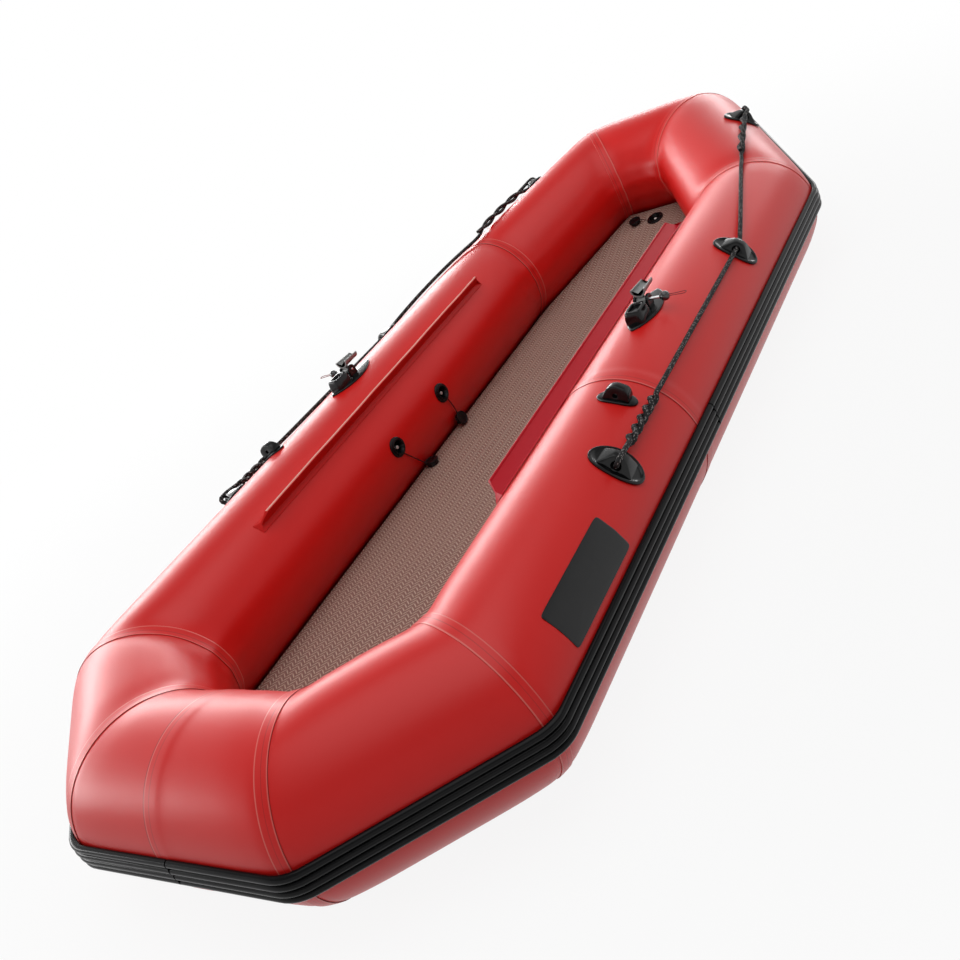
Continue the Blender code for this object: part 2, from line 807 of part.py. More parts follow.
def build_seat_strips(parts):
    red = material("strip_red", RED, 0.45)
    for name, base, left in (("seat_strip_right", OVER_TAPE, False), ("seat_strip_left", SEAT_GAP, True)):
        frame = surface_frame(0, STRIP_START_ALONG + STRIP_LENGTH / 2, STRIP_ANGLE, left)
        add_object(name, strip_mesh(name, base), parts, red, frame)


# Pads shared by the rubber fittings

def pad_mesh(name, length_x, length_y, levels, power=2.0, count=24, pointed=False):
    """A pad as rings of a long round outline: (share of the outline, height), bottom to top."""
    rings = []
    for share, height in levels:
        ring = []
        for index in range(count):
            angle = 2 * math.pi * index / count
            x = math.cos(angle)
            y = math.sin(angle)
            if pointed:
                y = math.copysign(abs(y) ** power, y)
            ring.append(Vector((x * length_x / 2 * share, y * length_y / 2 * share, height)))
        rings.append(ring)
    return loft(name, rings)


PAD_UNDER_SHARES = (0.10, 0.40, 0.70, 1.00)


def pad_levels(thickness, rim):
    """Underside rings, then the edge, the raised rim and the dished face."""
    levels = [(share, SEAT_GAP) for share in PAD_UNDER_SHARES]
    edge = SEAT_GAP + thickness / 2
    face = SEAT_GAP + thickness
    levels += [(1.0, edge), (0.94, face + rim), (0.84, face + rim), (0.76, face), (0.10, face)]
    return levels


def swap_to_side(mesh):
    """Turn an outline drawn in XY and extruded in Z so that it is drawn in YZ and extruded in X."""
    for vertex in mesh.vertices:
        vertex.co = Vector((vertex.co.z, vertex.co.x, vertex.co.y))
    mesh.update()
    return mesh


def holder_mesh():
    """The rope holder: an oval pad with a raised bridge and the rope's eye under it."""
    pad = pad_mesh("rope_holder_pad", HOLDER_WIDTH, HOLDER_LENGTH,
                   pad_levels(HOLDER_PAD_THICKNESS, HOLDER_RIM_HEIGHT), count=16)
    foot = SEAT_GAP + HOLDER_PAD_THICKNESS / 2
    half = BRIDGE_LENGTH / 2
    crown = BRIDGE_TOP_LENGTH / 2
    outline = []
    for step in range(BEND_STEPS + 1):
        outline.append((-half + BRIDGE_LENGTH * step / BEND_STEPS, foot))
    outline += [(crown * 1.7, BRIDGE_HEIGHT * 0.80), (crown, BRIDGE_HEIGHT), (-crown, BRIDGE_HEIGHT),
                (-crown * 1.7, BRIDGE_HEIGHT * 0.80)]
    eye = []
    for x, y in circle(1.0, 10):
        eye.append((x * EYE_WIDTH / 2, EYE_CENTRE_HEIGHT + y * EYE_HEIGHT / 2))
    outline = [bent(around, height) for around, height in outline]
    bridge = swap_to_side(extruded("rope_holder_bridge", (outline, eye), BRIDGE_WIDTH))
    for vertex in bridge.vertices:
        height = math.hypot(vertex.co.y, vertex.co.z + TUBE_RADIUS) - TUBE_RADIUS
        share = (height - foot) / (BRIDGE_HEIGHT - foot)
        vertex.co.x *= 1.0 + (BRIDGE_TOP_WIDTH / BRIDGE_WIDTH - 1.0) * share
    return joined_mesh("rope_holder", bend(pad), (bridge,))


def holder_frames(alongs, left):
    """Rope holder places on one side, stern to bow; alongs are those of the side tube's two."""
    frames = [surface_frame(0, along, HOLDER_ANGLE, left) for along in alongs]
    bow = surface_frame(1, BOW_HOLDER_ALONG, BOW_HOLDER_ANGLE, left)
    frames.append(bow @ Matrix.Translation((0.0, 0.0, BOW_HOLDER_LIFT)))
    return frames


def build_holders(parts):
    black = material("fitting_rubber", BLACK, 0.35)
    mesh = holder_mesh()
    for side, alongs in (("right", RIGHT_HOLDER_ALONGS), ("left", LEFT_HOLDER_ALONGS)):
        for place, frame in zip(("rear", "middle", "bow"), holder_frames(alongs, side == "left")):
            add_object("rope_holder_%s_%s" % (side, place), mesh, parts, black, frame)


# Grab lines

def tube_path(run, start, end, count):
    """Places along a tube's surface between two (along, angle, offset) places, with its normals."""
    path = []
    for step in range(count + 1):
        along, angle, offset = Vector(start).lerp(Vector(end), step / count)
        place = surface_point(run, along, angle, offset)
        outward = surface_point(run, along, angle, offset + TUBE_RADIUS) - place
        path.append((place, outward.normalized()))
    return path


def twisted_strands(path, turns):
    """Two strands that twist round a path: the points of each, starting one above the other."""
    strands = ([], [])
    for index, (centre, outward) in enumerate(path):
        after = path[min(index + 1, len(path) - 1)][0]
        before = path[max(index - 1, 0)][0]
        axis = (after - before).normalized()
        upright = (outward - axis * outward.dot(axis)).normalized()
        angle = math.pi / 2 + 2 * math.pi * turns * index / (len(path) - 1)
        arm = (axis.cross(upright) * math.cos(angle) + upright * math.sin(angle)) * STRAND_OFFSET
        strands[0].append(centre + arm)
        strands[1].append(centre - arm)
    return strands


def eye_turn(frame, sign):
    """The rope's way through an eye and back over its bridge; sign is the side it comes from."""
    low = EYE_CENTRE_HEIGHT
    high = BRIDGE_HEIGHT + ROPE_RADIUS + STRAND_GAP
    middle = (low + high) / 2
    reach = BRIDGE_WIDTH / 2
    route = [frame @ Vector((sign * reach, 0.0, low)), frame @ Vector((0.0, 0.0, low)),
             frame @ Vector((-sign * reach * 0.7, 0.0, low))]
    for step in range(1, 6):
        angle = -math.pi / 2 + math.pi * step / 6
        x = TURN_OVERHANG + (high - low) / 2 * math.cos(angle)
        route.append(frame @ Vector((-sign * x, 0.0, middle + (high - low) / 2 * math.sin(angle))))
    route += [frame @ Vector((-sign * reach * 0.7, 0.0, high)), frame @ Vector((0.0, 0.0, high)),
              frame @ Vector((sign * reach * 0.8, 0.0, high - STRAND_GAP))]
    return route


def grab_line_points(alongs):
    """A right-hand rope: twisted tail, rear eye, line to the middle eye, bow eye, twisted tail."""
    rear, middle, bow = holder_frames(alongs, False)
    eye = EYE_CENTRE_HEIGHT
    lying = ROPE_RADIUS + OVER_TAPE + STRAND_GAP
    rear_near = alongs[0] + TWIST_START
    rear_far = rear_near + STERN_TWIST_LENGTH
    middle_rear = alongs[1] - TWIST_START
    eye_front = alongs[1] + BRIDGE_WIDTH / 2
    bow_near = BOW_HOLDER_ALONG - TWIST_START
    bow_far = bow_near - BOW_TWIST_LENGTH
    rise = (CORNER_LINE_ANGLE - HOLDER_ANGLE) / (run_length(0) - eye_front)
    drift = (BOW_HOLDER_ANGLE - CORNER_LINE_ANGLE) / BOW_HOLDER_ALONG
    count = int(TWIST_POINTS_PER_TURN * STERN_TWIST_TURNS)
    path = tube_path(0, (rear_near, HOLDER_ANGLE, TWIST_HEIGHT),
                     (rear_far, HOLDER_ANGLE, TWIST_LOW_HEIGHT), count)
    tail, standing = twisted_strands(path, STERN_TWIST_TURNS)
    count = int(TWIST_POINTS_PER_TURN * BOW_TWIST_TURNS)
    path = tube_path(1, (bow_near, CORNER_LINE_ANGLE + drift * bow_near, TWIST_HEIGHT),
                     (bow_far, CORNER_LINE_ANGLE + drift * bow_far, TWIST_LOW_HEIGHT), count)
    bow_tail, bow_standing = twisted_strands(path, BOW_TWIST_TURNS)
    points = list(reversed(tail))
    points += list(reversed(eye_turn(rear, 1)))
    points += standing
    line = tube_path(0, (rear_far + TWIST_START, HOLDER_ANGLE, TWIST_HEIGHT),
                     (middle_rear, HOLDER_ANGLE, eye), 5)
    points += [place for place, outward in line]
    points += [middle @ Vector((share * BRIDGE_WIDTH / 2, 0.0, eye)) for share in (-1, 0, 1)]
    line = tube_path(0, (eye_front + BRIDGE_WIDTH / 2, HOLDER_ANGLE + rise * BRIDGE_WIDTH / 2, eye),
                     (run_length(0) - TWIST_START, CORNER_LINE_ANGLE - rise * TWIST_START, lying), 8)
    points += [place for place, outward in line]
    points.append(mitre_point(1, CORNER_LINE_ANGLE, lying))
    points += list(reversed(bow_standing))
    points += eye_turn(bow, -1)
    points += bow_tail
    return points


def build_grab_lines(parts):
    black = material("rope_black", BLACK, 0.8)
    right = grab_line_points(RIGHT_HOLDER_ALONGS)
    left = [Vector((-point.x, point.y, point.z)) for point in grab_line_points(LEFT_HOLDER_ALONGS)]
    for name, points in (("grab_line_right", right), ("grab_line_left", left)):
        length = sum((second - first).length for first, second in zip(points, points[1:]))
        gap = least_self_gap(points, ROPE_DIAMETER, 5)
        print("%s length %.3f m, least gap to itself %.2f mm" % (name, length, gap * 1000))
        round_tube(name, points, ROPE_DIAMETER, parts, black)


# Oarlocks

def oarlock_base_mesh():
    """A boat-shaped pad with a tapered block and two cheeks for the pin."""
    levels = [(share, SEAT_GAP) for share in PAD_UNDER_SHARES]
    face = SEAT_GAP + OARLOCK_PAD_THICKNESS
    levels += [(1.0, SEAT_GAP + OARLOCK_PAD_THICKNESS / 2), (0.95, face), (0.50, face), (0.10, face)]
    pad = pad_mesh("oarlock_pad", OARLOCK_LENGTH, OARLOCK_WIDTH, levels, power=1.5, count=16, pointed=True)
    foot = SEAT_GAP + OARLOCK_PAD_THICKNESS / 2
    block_rings = []
    for length, width, height in ((BLOCK_LENGTH, BLOCK_WIDTH, foot),
                                  (BLOCK_LENGTH, BLOCK_WIDTH * 0.95, BLOCK_HEIGHT * 0.4),
                                  (BLOCK_TOP_LENGTH, BLOCK_TOP_WIDTH, BLOCK_HEIGHT)):
        ring = []
        for x, y in ((1, 1), (0, 1), (-1, 1), (-1, 0), (-1, -1), (0, -1), (1, -1), (1, 0)):
            ring.append(Vector((BLOCK_CENTRE + x * length / 2, y * width / 2, height)))
        block_rings.append(ring)
    block = loft("oarlock_block", block_rings)
    cheeks = []
    for sign in (-1, 1):
        outline = [(PIN_PLACE - CHEEK_LENGTH / 2, foot), (PIN_PLACE + CHEEK_LENGTH / 2, foot),
                   (PIN_PLACE + CHEEK_LENGTH / 2, CHEEK_HEIGHT * 0.75),
                   (PIN_PLACE + CHEEK_LENGTH / 4, CHEEK_HEIGHT),
                   (PIN_PLACE - CHEEK_LENGTH / 4, CHEEK_HEIGHT),
                   (PIN_PLACE - CHEEK_LENGTH / 2, CHEEK_HEIGHT * 0.75)]
        hole = circle(PIN_RADIUS + PIN_HOLE_CLEARANCE, PIN_SIDES, (PIN_PLACE, PIN_HEIGHT))
        cheek = extruded("oarlock_cheek", (outline, hole), CHEEK_THICKNESS)
        for vertex in cheek.vertices:
            place = sign * (CHEEK_SPACING / 2 + CHEEK_THICKNESS / 2) - vertex.co.z
            vertex.co = Vector((vertex.co.x, place, vertex.co.y))
        cheeks.append(cheek)
    return joined_mesh("oarlock_base", bend(pad), [bend(block)] + cheeks)


def saddle_mesh():
    """A tapered half-round gutter on a bored hub; the origin is on the pin's axis."""
    hub_half = CHEEK_SPACING / 2 - SADDLE_HUB_CLEARANCE
    hub_outline = circle(SADDLE_HUB_RADIUS, 2 * PIN_SIDES)
    bore = circle(PIN_RADIUS + PIN_HOLE_CLEARANCE, PIN_SIDES)
    hub = extruded("saddle_hub", (hub_outline, bore), 2 * hub_half)
    for vertex in hub.vertices:
        vertex.co = Vector((vertex.co.x, -vertex.co.z, vertex.co.y))
    base = SADDLE_HUB_RADIUS - SADDLE_WALL / 2
    rings = []
    front = SADDLE_LENGTH - SADDLE_REAR_REACH
    for x, inner in ((-SADDLE_REAR_REACH, SADDLE_INNER_RADIUS), (front, SADDLE_END_INNER_RADIUS)):
        ring = []
        outer = inner + SADDLE_WALL
        centre = base + SADDLE_STEM + outer
        for step in range(9):
            angle = math.pi + math.pi * step / 8
            ring.append(Vector((x, outer * math.cos(angle), centre + outer * math.sin(angle))))
        for step in range(9):
            angle = 2 * math.pi - math.pi * step / 8
            ring.append(Vector((x, inner * math.cos(angle), centre + inner * math.sin(angle))))
        rings.append(ring)
    gutter = loft("saddle_gutter", rings)
    stem = bmesh.new()
    bmesh.ops.create_cube(stem, size=1.0)
    stem_height = SADDLE_STEM + SADDLE_WALL
    for vertex in stem.verts:
        vertex.co = Vector((vertex.co.x * SADDLE_HUB_RADIUS, vertex.co.y * hub_half * 1.2,
                            base + (vertex.co.z + 0.5) * stem_height - SADDLE_WALL / 2))
    return joined_mesh("oar_saddle", hub, (mesh_from_bmesh("saddle_stem", stem), gutter))


def build_oarlocks(parts):
    black = material("fitting_rubber", BLACK, 0.35)
    grey = material("saddle_grey", GREY, 0.4)
    steel = material("pin_steel", STEEL, 0.25, 1.0)
    knob_black = material("knob_black", BLACK, 0.3)
    cord = material("loop_cord", TAPE_RED, 0.8)
    base = oarlock_base_mesh()
    saddle = saddle_mesh()
    reach = PIN_INNER_REACH + PIN_OUTER_REACH
    pin = turned("oarlock_pin", ((0.0, PIN_INNER_REACH), (PIN_RADIUS * 0.7, PIN_INNER_REACH),
                                 (PIN_RADIUS, PIN_INNER_REACH - PIN_RADIUS * 0.4),
                                 (PIN_RADIUS, PIN_INNER_REACH - reach), (0.0, PIN_INNER_REACH - reach)),
                 PIN_SIDES)
    knob_profile = []
    for step in range(7):
        angle = math.radians(150.0) * step / 6
        knob_profile.append((KNOB_RADIUS * math.sin(angle), -KNOB_RADIUS * math.cos(angle)))
    knob_profile.append((KNOB_NECK_RADIUS, KNOB_RADIUS * 1.05))
    knob_profile.append((0.0, KNOB_RADIUS * 1.05))
    knob = turned("oarlock_knob", list(reversed(knob_profile)), KNOB_SIDES)
    for side, left in (("right", False), ("left", True)):
        frame = surface_frame(0, OARLOCK_ALONG, OARLOCK_ANGLE, left)
        inboard = -1.0 if left else 1.0
        shape = flipped(base, "oarlock_base_left") if left else base
        add_object("oarlock_base_" + side, shape, parts, black, frame)
        pin_frame = frame @ Matrix.Translation((PIN_PLACE, 0.0, PIN_HEIGHT))
        add_object("oar_saddle_" + side, saddle, parts, grey, pin_frame)
        turn = Matrix.Rotation(-inboard * math.pi / 2, 4, "X")
        add_object("oarlock_pin_" + side, pin, parts, steel, pin_frame @ turn)
        knob_place = Matrix.Translation((0.0, 0.0, -PIN_OUTER_REACH - TOUCH_GAP - KNOB_RADIUS * 1.05))
        add_object("oarlock_knob_" + side, knob, parts, knob_black, pin_frame @ turn @ knob_place)
        start = KNOB_RADIUS + TOUCH_GAP
        loop = []
        for x, z in ((0.35, 0.0), (0.7, 0.45), (1.0, 0.8), (0.8, 0.96), (0.0, 1.0),
                     (-0.8, 0.96), (-1.0, 0.8), (-0.7, 0.45), (-0.35, 0.0)):
            loop.append(Vector((x * LOOP_HALF_WIDTH, 0.0, -start - z * LOOP_LENGTH)))
        loop = [pin_frame @ turn @ knob_place @ point for point in loop]
        round_tube("knob_pull_loop_" + side, loop, LOOP_DIAMETER, parts, cord)


# Eye blocks

def eye_block_mesh():
    """A pad with round ends and a crested block with a cross bore and a slot."""
    face = SEAT_GAP + EYE_BLOCK_PAD_THICKNESS
    levels = [(share, SEAT_GAP) for share in PAD_UNDER_SHARES]
    levels += [(1.0, SEAT_GAP + EYE_BLOCK_PAD_THICKNESS * 0.6), (0.94, face), (0.50, face), (0.10, face)]
    under = pad_mesh("eye_block_pad", EYE_BLOCK_WIDTH, EYE_BLOCK_LENGTH, levels, power=0.7, count=16,
                     pointed=True)
    foot = SEAT_GAP + EYE_BLOCK_PAD_THICKNESS / 2
    half = EYE_BLOCK_BODY_LENGTH / 2
    top = EYE_BLOCK_HEIGHT
    slot = EYE_BLOCK_SLOT_WIDTH
    depth = EYE_BLOCK_SLOT_DEPTH
    outline = [(-half + EYE_BLOCK_BODY_LENGTH * step / 6, foot) for step in range(7)]
    outline += [(half * 0.80, top * 0.45), (half * 0.30, top * 0.93), (half * 0.05, top),
                (-half * 0.30, top), (-half * 0.30, top - depth), (-half * 0.30 - slot, top - depth),
                (-half * 0.30 - slot, top * 0.97), (-half * 0.75, top * 0.88), (-half * 0.92, top * 0.45)]
    outline = [bent(around, height) for around, height in outline]
    bore = circle(EYE_BLOCK_BORE_RADIUS, 12, (0.0, EYE_BLOCK_BORE_HEIGHT))
    body = swap_to_side(extruded("eye_block_body", (outline, bore), EYE_BLOCK_BODY_WIDTH))
    return joined_mesh("eye_block", bend(under), (body,))


def build_eye_blocks(parts):
    black = material("fitting_rubber", BLACK, 0.35)
    mesh = eye_block_mesh()
    for side, along in (("right", RIGHT_EYE_BLOCK_ALONG), ("left", LEFT_EYE_BLOCK_ALONG)):
        left = side == "left"
        frame = surface_frame(0, along, EYE_BLOCK_ANGLE, left)
        shape = flipped(mesh, "eye_block_left") if left else mesh
        add_object("eye_block_" + side, shape, parts, black, frame)


# Valves

def valve_body_mesh(name, curved):
    """Flange, collar, barrel and seat; a curved one has its flange bent to the tube."""
    collar = COLLAR_HEIGHT
    lip = FLANGE_THICKNESS * 0.4
    face = SEAT_GAP + FLANGE_THICKNESS
    profile = [(BORE_RADIUS + lip * 0.6, collar), (COLLAR_RADIUS - lip * 0.6, collar),
               (COLLAR_RADIUS, collar - lip), (COLLAR_RADIUS, face), (FLANGE_RADIUS - lip, face),
               (FLANGE_RADIUS, face - lip), (FLANGE_RADIUS, SEAT_GAP), (BARREL_RADIUS, SEAT_GAP),
               (BARREL_RADIUS, -BARREL_DEPTH),
               (SEAT_RADIUS, -BARREL_DEPTH), (SEAT_RADIUS, -BARREL_DEPTH + SEAT_THICKNESS),
               (BORE_RADIUS, -BARREL_DEPTH + SEAT_THICKNESS), (BORE_RADIUS, collar - lip)]
    mesh = turned(name, profile, VALVE_STEPS)
    if curved:
        for vertex in mesh.vertices:
            reach = math.hypot(vertex.co.x, vertex.co.y)
            if reach > BARREL_RADIUS + TOUCH_GAP and vertex.co.z < face + TOUCH_GAP:
                drop = TUBE_RADIUS - math.sqrt(TUBE_RADIUS ** 2 - vertex.co.y ** 2)
                vertex.co.z -= drop
        mesh.update()
    return mesh


def guide_mesh():
    """The flat spoked guide across the barrel, which carries the plunger's stem."""
    rim = BORE_RADIUS + GUIDE_RIM_WIDTH / 4
    window_outer = rim - GUIDE_RIM_WIDTH
    outlines = [circle(rim, VALVE_STEPS), circle(STEM_RADIUS + STEM_CLEARANCE, VALVE_STEPS // 2)]
    sector = 2 * math.pi / GUIDE_SPOKES
    for spoke in range(GUIDE_SPOKES):
        window = []
        for radius, reverse in ((GUIDE_HUB_RADIUS, False), (window_outer, True)):
            margin = GUIDE_SPOKE_WIDTH / 2 / radius
            arc = []
            for step in range(4):
                angle = spoke * sector + margin + (sector - 2 * margin) * step / 3
                arc.append((radius * math.cos(angle), radius * math.sin(angle)))
            window += list(reversed(arc)) if reverse else arc
        outlines.append(window)
    mesh = extruded("valve_guide", outlines, GUIDE_THICKNESS)
    for vertex in mesh.vertices:
        vertex.co.z -= GUIDE_DEPTH
    return mesh


def plunger_mesh():
    """Button, stem and sealing disc in one piece; its origin is on the valve's axis."""
    disc_top = -BARREL_DEPTH - TOUCH_GAP
    under = BUTTON_TOP - BUTTON_THICKNESS
    profile = [(0.0, BUTTON_TOP), (BUTTON_RADIUS * 0.8, BUTTON_TOP),
               (BUTTON_RADIUS, under + BUTTON_THICKNESS * 0.6), (BUTTON_RADIUS, under), (STEM_RADIUS, under),
               (STEM_RADIUS, disc_top), (DISC_RADIUS, disc_top), (DISC_RADIUS, disc_top - DISC_THICKNESS),
               (0.0, disc_top - DISC_THICKNESS)]
    return turned("valve_plunger", profile, VALVE_STEPS)


def spring_points():
    """The return spring, from the guide's hub up to the button."""
    low = -GUIDE_DEPTH + GUIDE_THICKNESS / 2 + SPRING_WIRE / 2 + TOUCH_GAP
    high = BUTTON_TOP - BUTTON_THICKNESS - SPRING_WIRE / 2 - TOUCH_GAP
    count = int(8 * SPRING_TURNS)
    points = []
    for step in range(count + 1):
        angle = 2 * math.pi * SPRING_TURNS * step / count
        points.append(Vector((SPRING_RADIUS * math.cos(angle), SPRING_RADIUS * math.sin(angle),
                              low + (high - low) * step / count)))
    return points


def cap_mesh():
    """A screw-in cap: a dished round head on a plug, plug down."""
    plug = BORE_RADIUS - CAP_PLUG_CLEARANCE
    edge = CAP_HEAD_THICKNESS / 5
    dish = CAP_HEIGHT - CAP_DISH_DEPTH
    rim = CAP_RADIUS - CAP_RIM_WIDTH
    profile = [(0.0, dish), (rim - edge, dish), (rim, CAP_HEIGHT),
               (CAP_RADIUS - edge, CAP_HEIGHT), (CAP_RADIUS, CAP_HEIGHT - edge), (CAP_RADIUS, CAP_PLUG_DEPTH),
               (plug, CAP_PLUG_DEPTH), (plug, 0.0), (0.0, 0.0)]
    return turned("valve_cap", profile, VALVE_STEPS)


def add_cap(name, frame, root, sag, parts, made):
    """A cap at its resting place with its strap; the object's origin is the strap's root."""
    toward = frame.inverted() @ root
    toward.z = 0.0
    toward = toward.normalized() * (CAP_RADIUS - STRAP_DIAMETER / 2)
    toward.z = CAP_PLUG_DEPTH + CAP_HEAD_THICKNESS / 2
    end = frame @ toward
    route = smooth_route([root, root.lerp(end, 0.33) + sag * 0.8, root.lerp(end, 0.67) + sag, end], 2)
    strap = round_tube(name + "_strap", [point - root for point in route], STRAP_DIAMETER, parts, made)
    head = cap_mesh()
    head.transform(Matrix.Translation(-root) @ frame)
    mesh = joined_mesh(name, head, (evaluated_mesh(strap, name + "_strap"),))
    add_object(name, mesh, parts, made, Matrix.Translation(root))


def deck_level_of_tube(height):
    """Level distance in from the left tube's centreline at which the tube stands at a height."""
    return math.sqrt(TUBE_RADIUS ** 2 - (CENTRE_HEIGHT - height) ** 2)


def side_strap_root(frame):
    """The strap's root, just off the lower edge of a side valve's flange."""
    reach = FLANGE_RADIUS + TOUCH_GAP + STRAP_DIAMETER / 2
    return frame @ Vector((reach * math.sin(STRAP_ROOT_ANGLE), -reach * math.cos(STRAP_ROOT_ANGLE),
                           -STRAP_DIAMETER / 4))


def build_caps(frames, parts, made):
    sag = Vector((STRAP_DIAMETER, 0.0, -STRAP_DIAMETER))
    rear, front, deck = frames
    root = side_strap_root(rear)
    top = DECK_TOP_HEIGHT + CAP_LIFT + CAP_HEIGHT
    x = -HALF_BEAM + deck_level_of_tube(top) + CAP_TUBE_CLEARANCE + CAP_RADIUS
    flat = Matrix.Translation((x, root.y + REAR_CAP_FORWARD, DECK_TOP_HEIGHT + CAP_LIFT))
    add_cap("rear_valve_cap", flat, root, sag, parts, made)
    root = side_strap_root(front)
    rise = CAP_RADIUS * math.cos(CAP_LEAN)
    top = DECK_TOP_HEIGHT + CAP_LIFT + 2 * rise
    x = -HALF_BEAM + deck_level_of_tube(top) + CAP_TUBE_CLEARANCE + CAP_RADIUS * math.sin(CAP_LEAN)
    lean = Matrix.Rotation(math.pi / 2 - CAP_LEAN, 4, "Y")
    standing = (Matrix.Translation((x, root.y + FRONT_CAP_FORWARD, DECK_TOP_HEIGHT + CAP_LIFT + rise))
                @ lean @ Matrix.Translation((0.0, 0.0, -CAP_PLUG_DEPTH / 2)))
    add_cap("front_valve_cap", standing, root, sag, parts, made)
    reach = FLANGE_RADIUS + TOUCH_GAP + STRAP_DIAMETER / 2
    root = deck @ Vector((0.0, reach, SEAT_GAP + FLANGE_THICKNESS / 2))
    resting = deck @ Matrix.Translation((0.0, DECK_CAP_REACH, CAP_LIFT))
    add_cap("deck_valve_cap", resting, root, Vector((0.0, 0.0, 0.0)), parts, made)


def build_valves(parts):
    black = material("valve_black", BLACK, 0.4)
    steel = material("spring_steel", STEEL, 0.3, 1.0)
    curved = joined_mesh("valve_body_curved", valve_body_mesh("valve_curved", True), (guide_mesh(),))
    flat = joined_mesh("valve_body_flat", valve_body_mesh("valve_flat", False), (guide_mesh(),))
    plunger = plunger_mesh()
    spring = spring_points()
    print("valve spring least gap to itself %.2f mm"
          % (least_self_gap(spring, SPRING_WIRE, 5) * 1000))
    rear = surface_frame(0, VALVE_ALONGS[0], VALVE_ANGLE, left=True)
    front = surface_frame(0, VALVE_ALONGS[1], VALVE_ANGLE, left=True)
    deck = deck_frame()
    for name, frame, body in (("rear_valve", rear, curved), ("front_valve", front, curved),
                              ("deck_valve", deck, flat)):
        add_object(name + "_body", body, parts, black, frame)
        add_object(name + "_plunger", plunger, parts, black, frame)
        round_tube(name + "_spring", [frame @ point for point in spring], SPRING_WIRE, parts, steel)
    build_caps((rear, front, deck), parts, black)


# The patch

def build_patch(parts):
    black = material("patch_black", BLACK, 0.4)
    work = bmesh.new()
    count = 7
    spread = PATCH_HIGH_ANGLE - PATCH_LOW_ANGLE
    angles = [PATCH_LOW_ANGLE + spread * step / count for step in range(count + 1)]
    rows = []
    for along in (PATCH_START_ALONG, PATCH_START_ALONG + PATCH_LENGTH):
        rows.append([work.verts.new(surface_point(0, along, angle, SEAT_GAP)) for angle in angles])
    for index in range(count):
        work.faces.new((rows[0][index], rows[1][index], rows[1][index + 1], rows[0][index + 1]))
    mesh = mesh_from_bmesh("tube_patch", work)
    patch = add_object("tube_patch", mesh, parts, black)
    skin = patch.modifiers.new("skin", "SOLIDIFY")
    skin.thickness = PATCH_THICKNESS
    skin.offset = 1.0


def main():
    clear_scene()
    parts = new_collection("inflatable_fishing_boat")
    cutters = new_collection("cutters")
    build_tubes(parts, cutters)
    build_tapes(parts)
    build_bulkheads(parts)
    build_floor(parts)
    build_strakes(parts)
    build_seat_strips(parts)
    build_holders(parts)
    build_grab_lines(parts)
    build_oarlocks(parts)
    build_eye_blocks(parts)
    build_valves(parts)
    build_patch(parts)
    bpy.context.view_layer.update()


main()
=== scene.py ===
"""Inflatable fishing boat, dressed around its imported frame.

Every surface is a numpy grid: rows and columns of points worked out from two parameters. Lengths are
metres in the frame's own axes: +Y towards the raised bow, +X to the right-hand side, +Z up.
"""
import json
import math

import bmesh
import bpy
import numpy as np
from bpy.props import FloatProperty, FloatVectorProperty, PointerProperty
from bpy.types import Operator, Panel, PropertyGroup
from mathutils import Matrix, Vector

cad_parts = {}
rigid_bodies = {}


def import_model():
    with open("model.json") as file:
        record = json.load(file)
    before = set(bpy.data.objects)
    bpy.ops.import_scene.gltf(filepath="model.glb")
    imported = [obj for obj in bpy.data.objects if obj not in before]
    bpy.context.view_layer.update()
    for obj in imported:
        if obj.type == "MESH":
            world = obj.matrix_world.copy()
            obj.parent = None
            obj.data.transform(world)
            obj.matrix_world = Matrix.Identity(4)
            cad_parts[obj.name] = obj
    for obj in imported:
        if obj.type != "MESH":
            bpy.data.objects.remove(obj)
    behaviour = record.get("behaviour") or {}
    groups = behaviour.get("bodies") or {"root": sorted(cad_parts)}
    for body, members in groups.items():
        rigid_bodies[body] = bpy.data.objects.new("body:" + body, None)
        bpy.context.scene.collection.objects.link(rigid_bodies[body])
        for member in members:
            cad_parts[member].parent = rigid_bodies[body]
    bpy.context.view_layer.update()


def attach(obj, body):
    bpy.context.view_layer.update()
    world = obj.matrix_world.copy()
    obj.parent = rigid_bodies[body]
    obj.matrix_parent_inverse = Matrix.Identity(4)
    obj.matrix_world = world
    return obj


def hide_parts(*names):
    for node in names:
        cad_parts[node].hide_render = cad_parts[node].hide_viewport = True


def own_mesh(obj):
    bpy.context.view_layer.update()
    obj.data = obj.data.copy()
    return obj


bl_info = {
    "name": "Inflatable Fishing Boat",
    "version": (1, 0, 0),
    "blender": (4, 5, 0),
    "location": "View3D > Sidebar > Boat",
    "description": "Dresses the inflatable boat around its frame",
    "category": "Object",
}

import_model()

# Tube ring, as in the part
TUBE_RADIUS = 0.150
TUBE_SKIN = 0.0012
TUBE_SIDES = 28
HALF_BEAM = 0.405
SIDE_LENGTH = 1.630
STERN_RUN = 0.195
STERN_HALF_WIDTH = 0.190
BOW_RUN = 0.440
BOW_HALF_WIDTH = 0.160
BOW_RISE = 0.090
HALF_LENGTH = (STERN_RUN + SIDE_LENGTH + BOW_RUN) / 2
TOUCH_GAP = 0.0003
TAPE_TOP = 0.0011
TAPE_HALF_WIDTH = 0.013
LAP_WIDTH = 0.026
LAP_LIFT = 0.0009
LAP_FADE = 0.020
PANEL_SEAM = 0.658
CENTRE_HEIGHT = (TUBE_RADIUS + TAPE_TOP) * math.cos(math.pi / TUBE_SIDES)

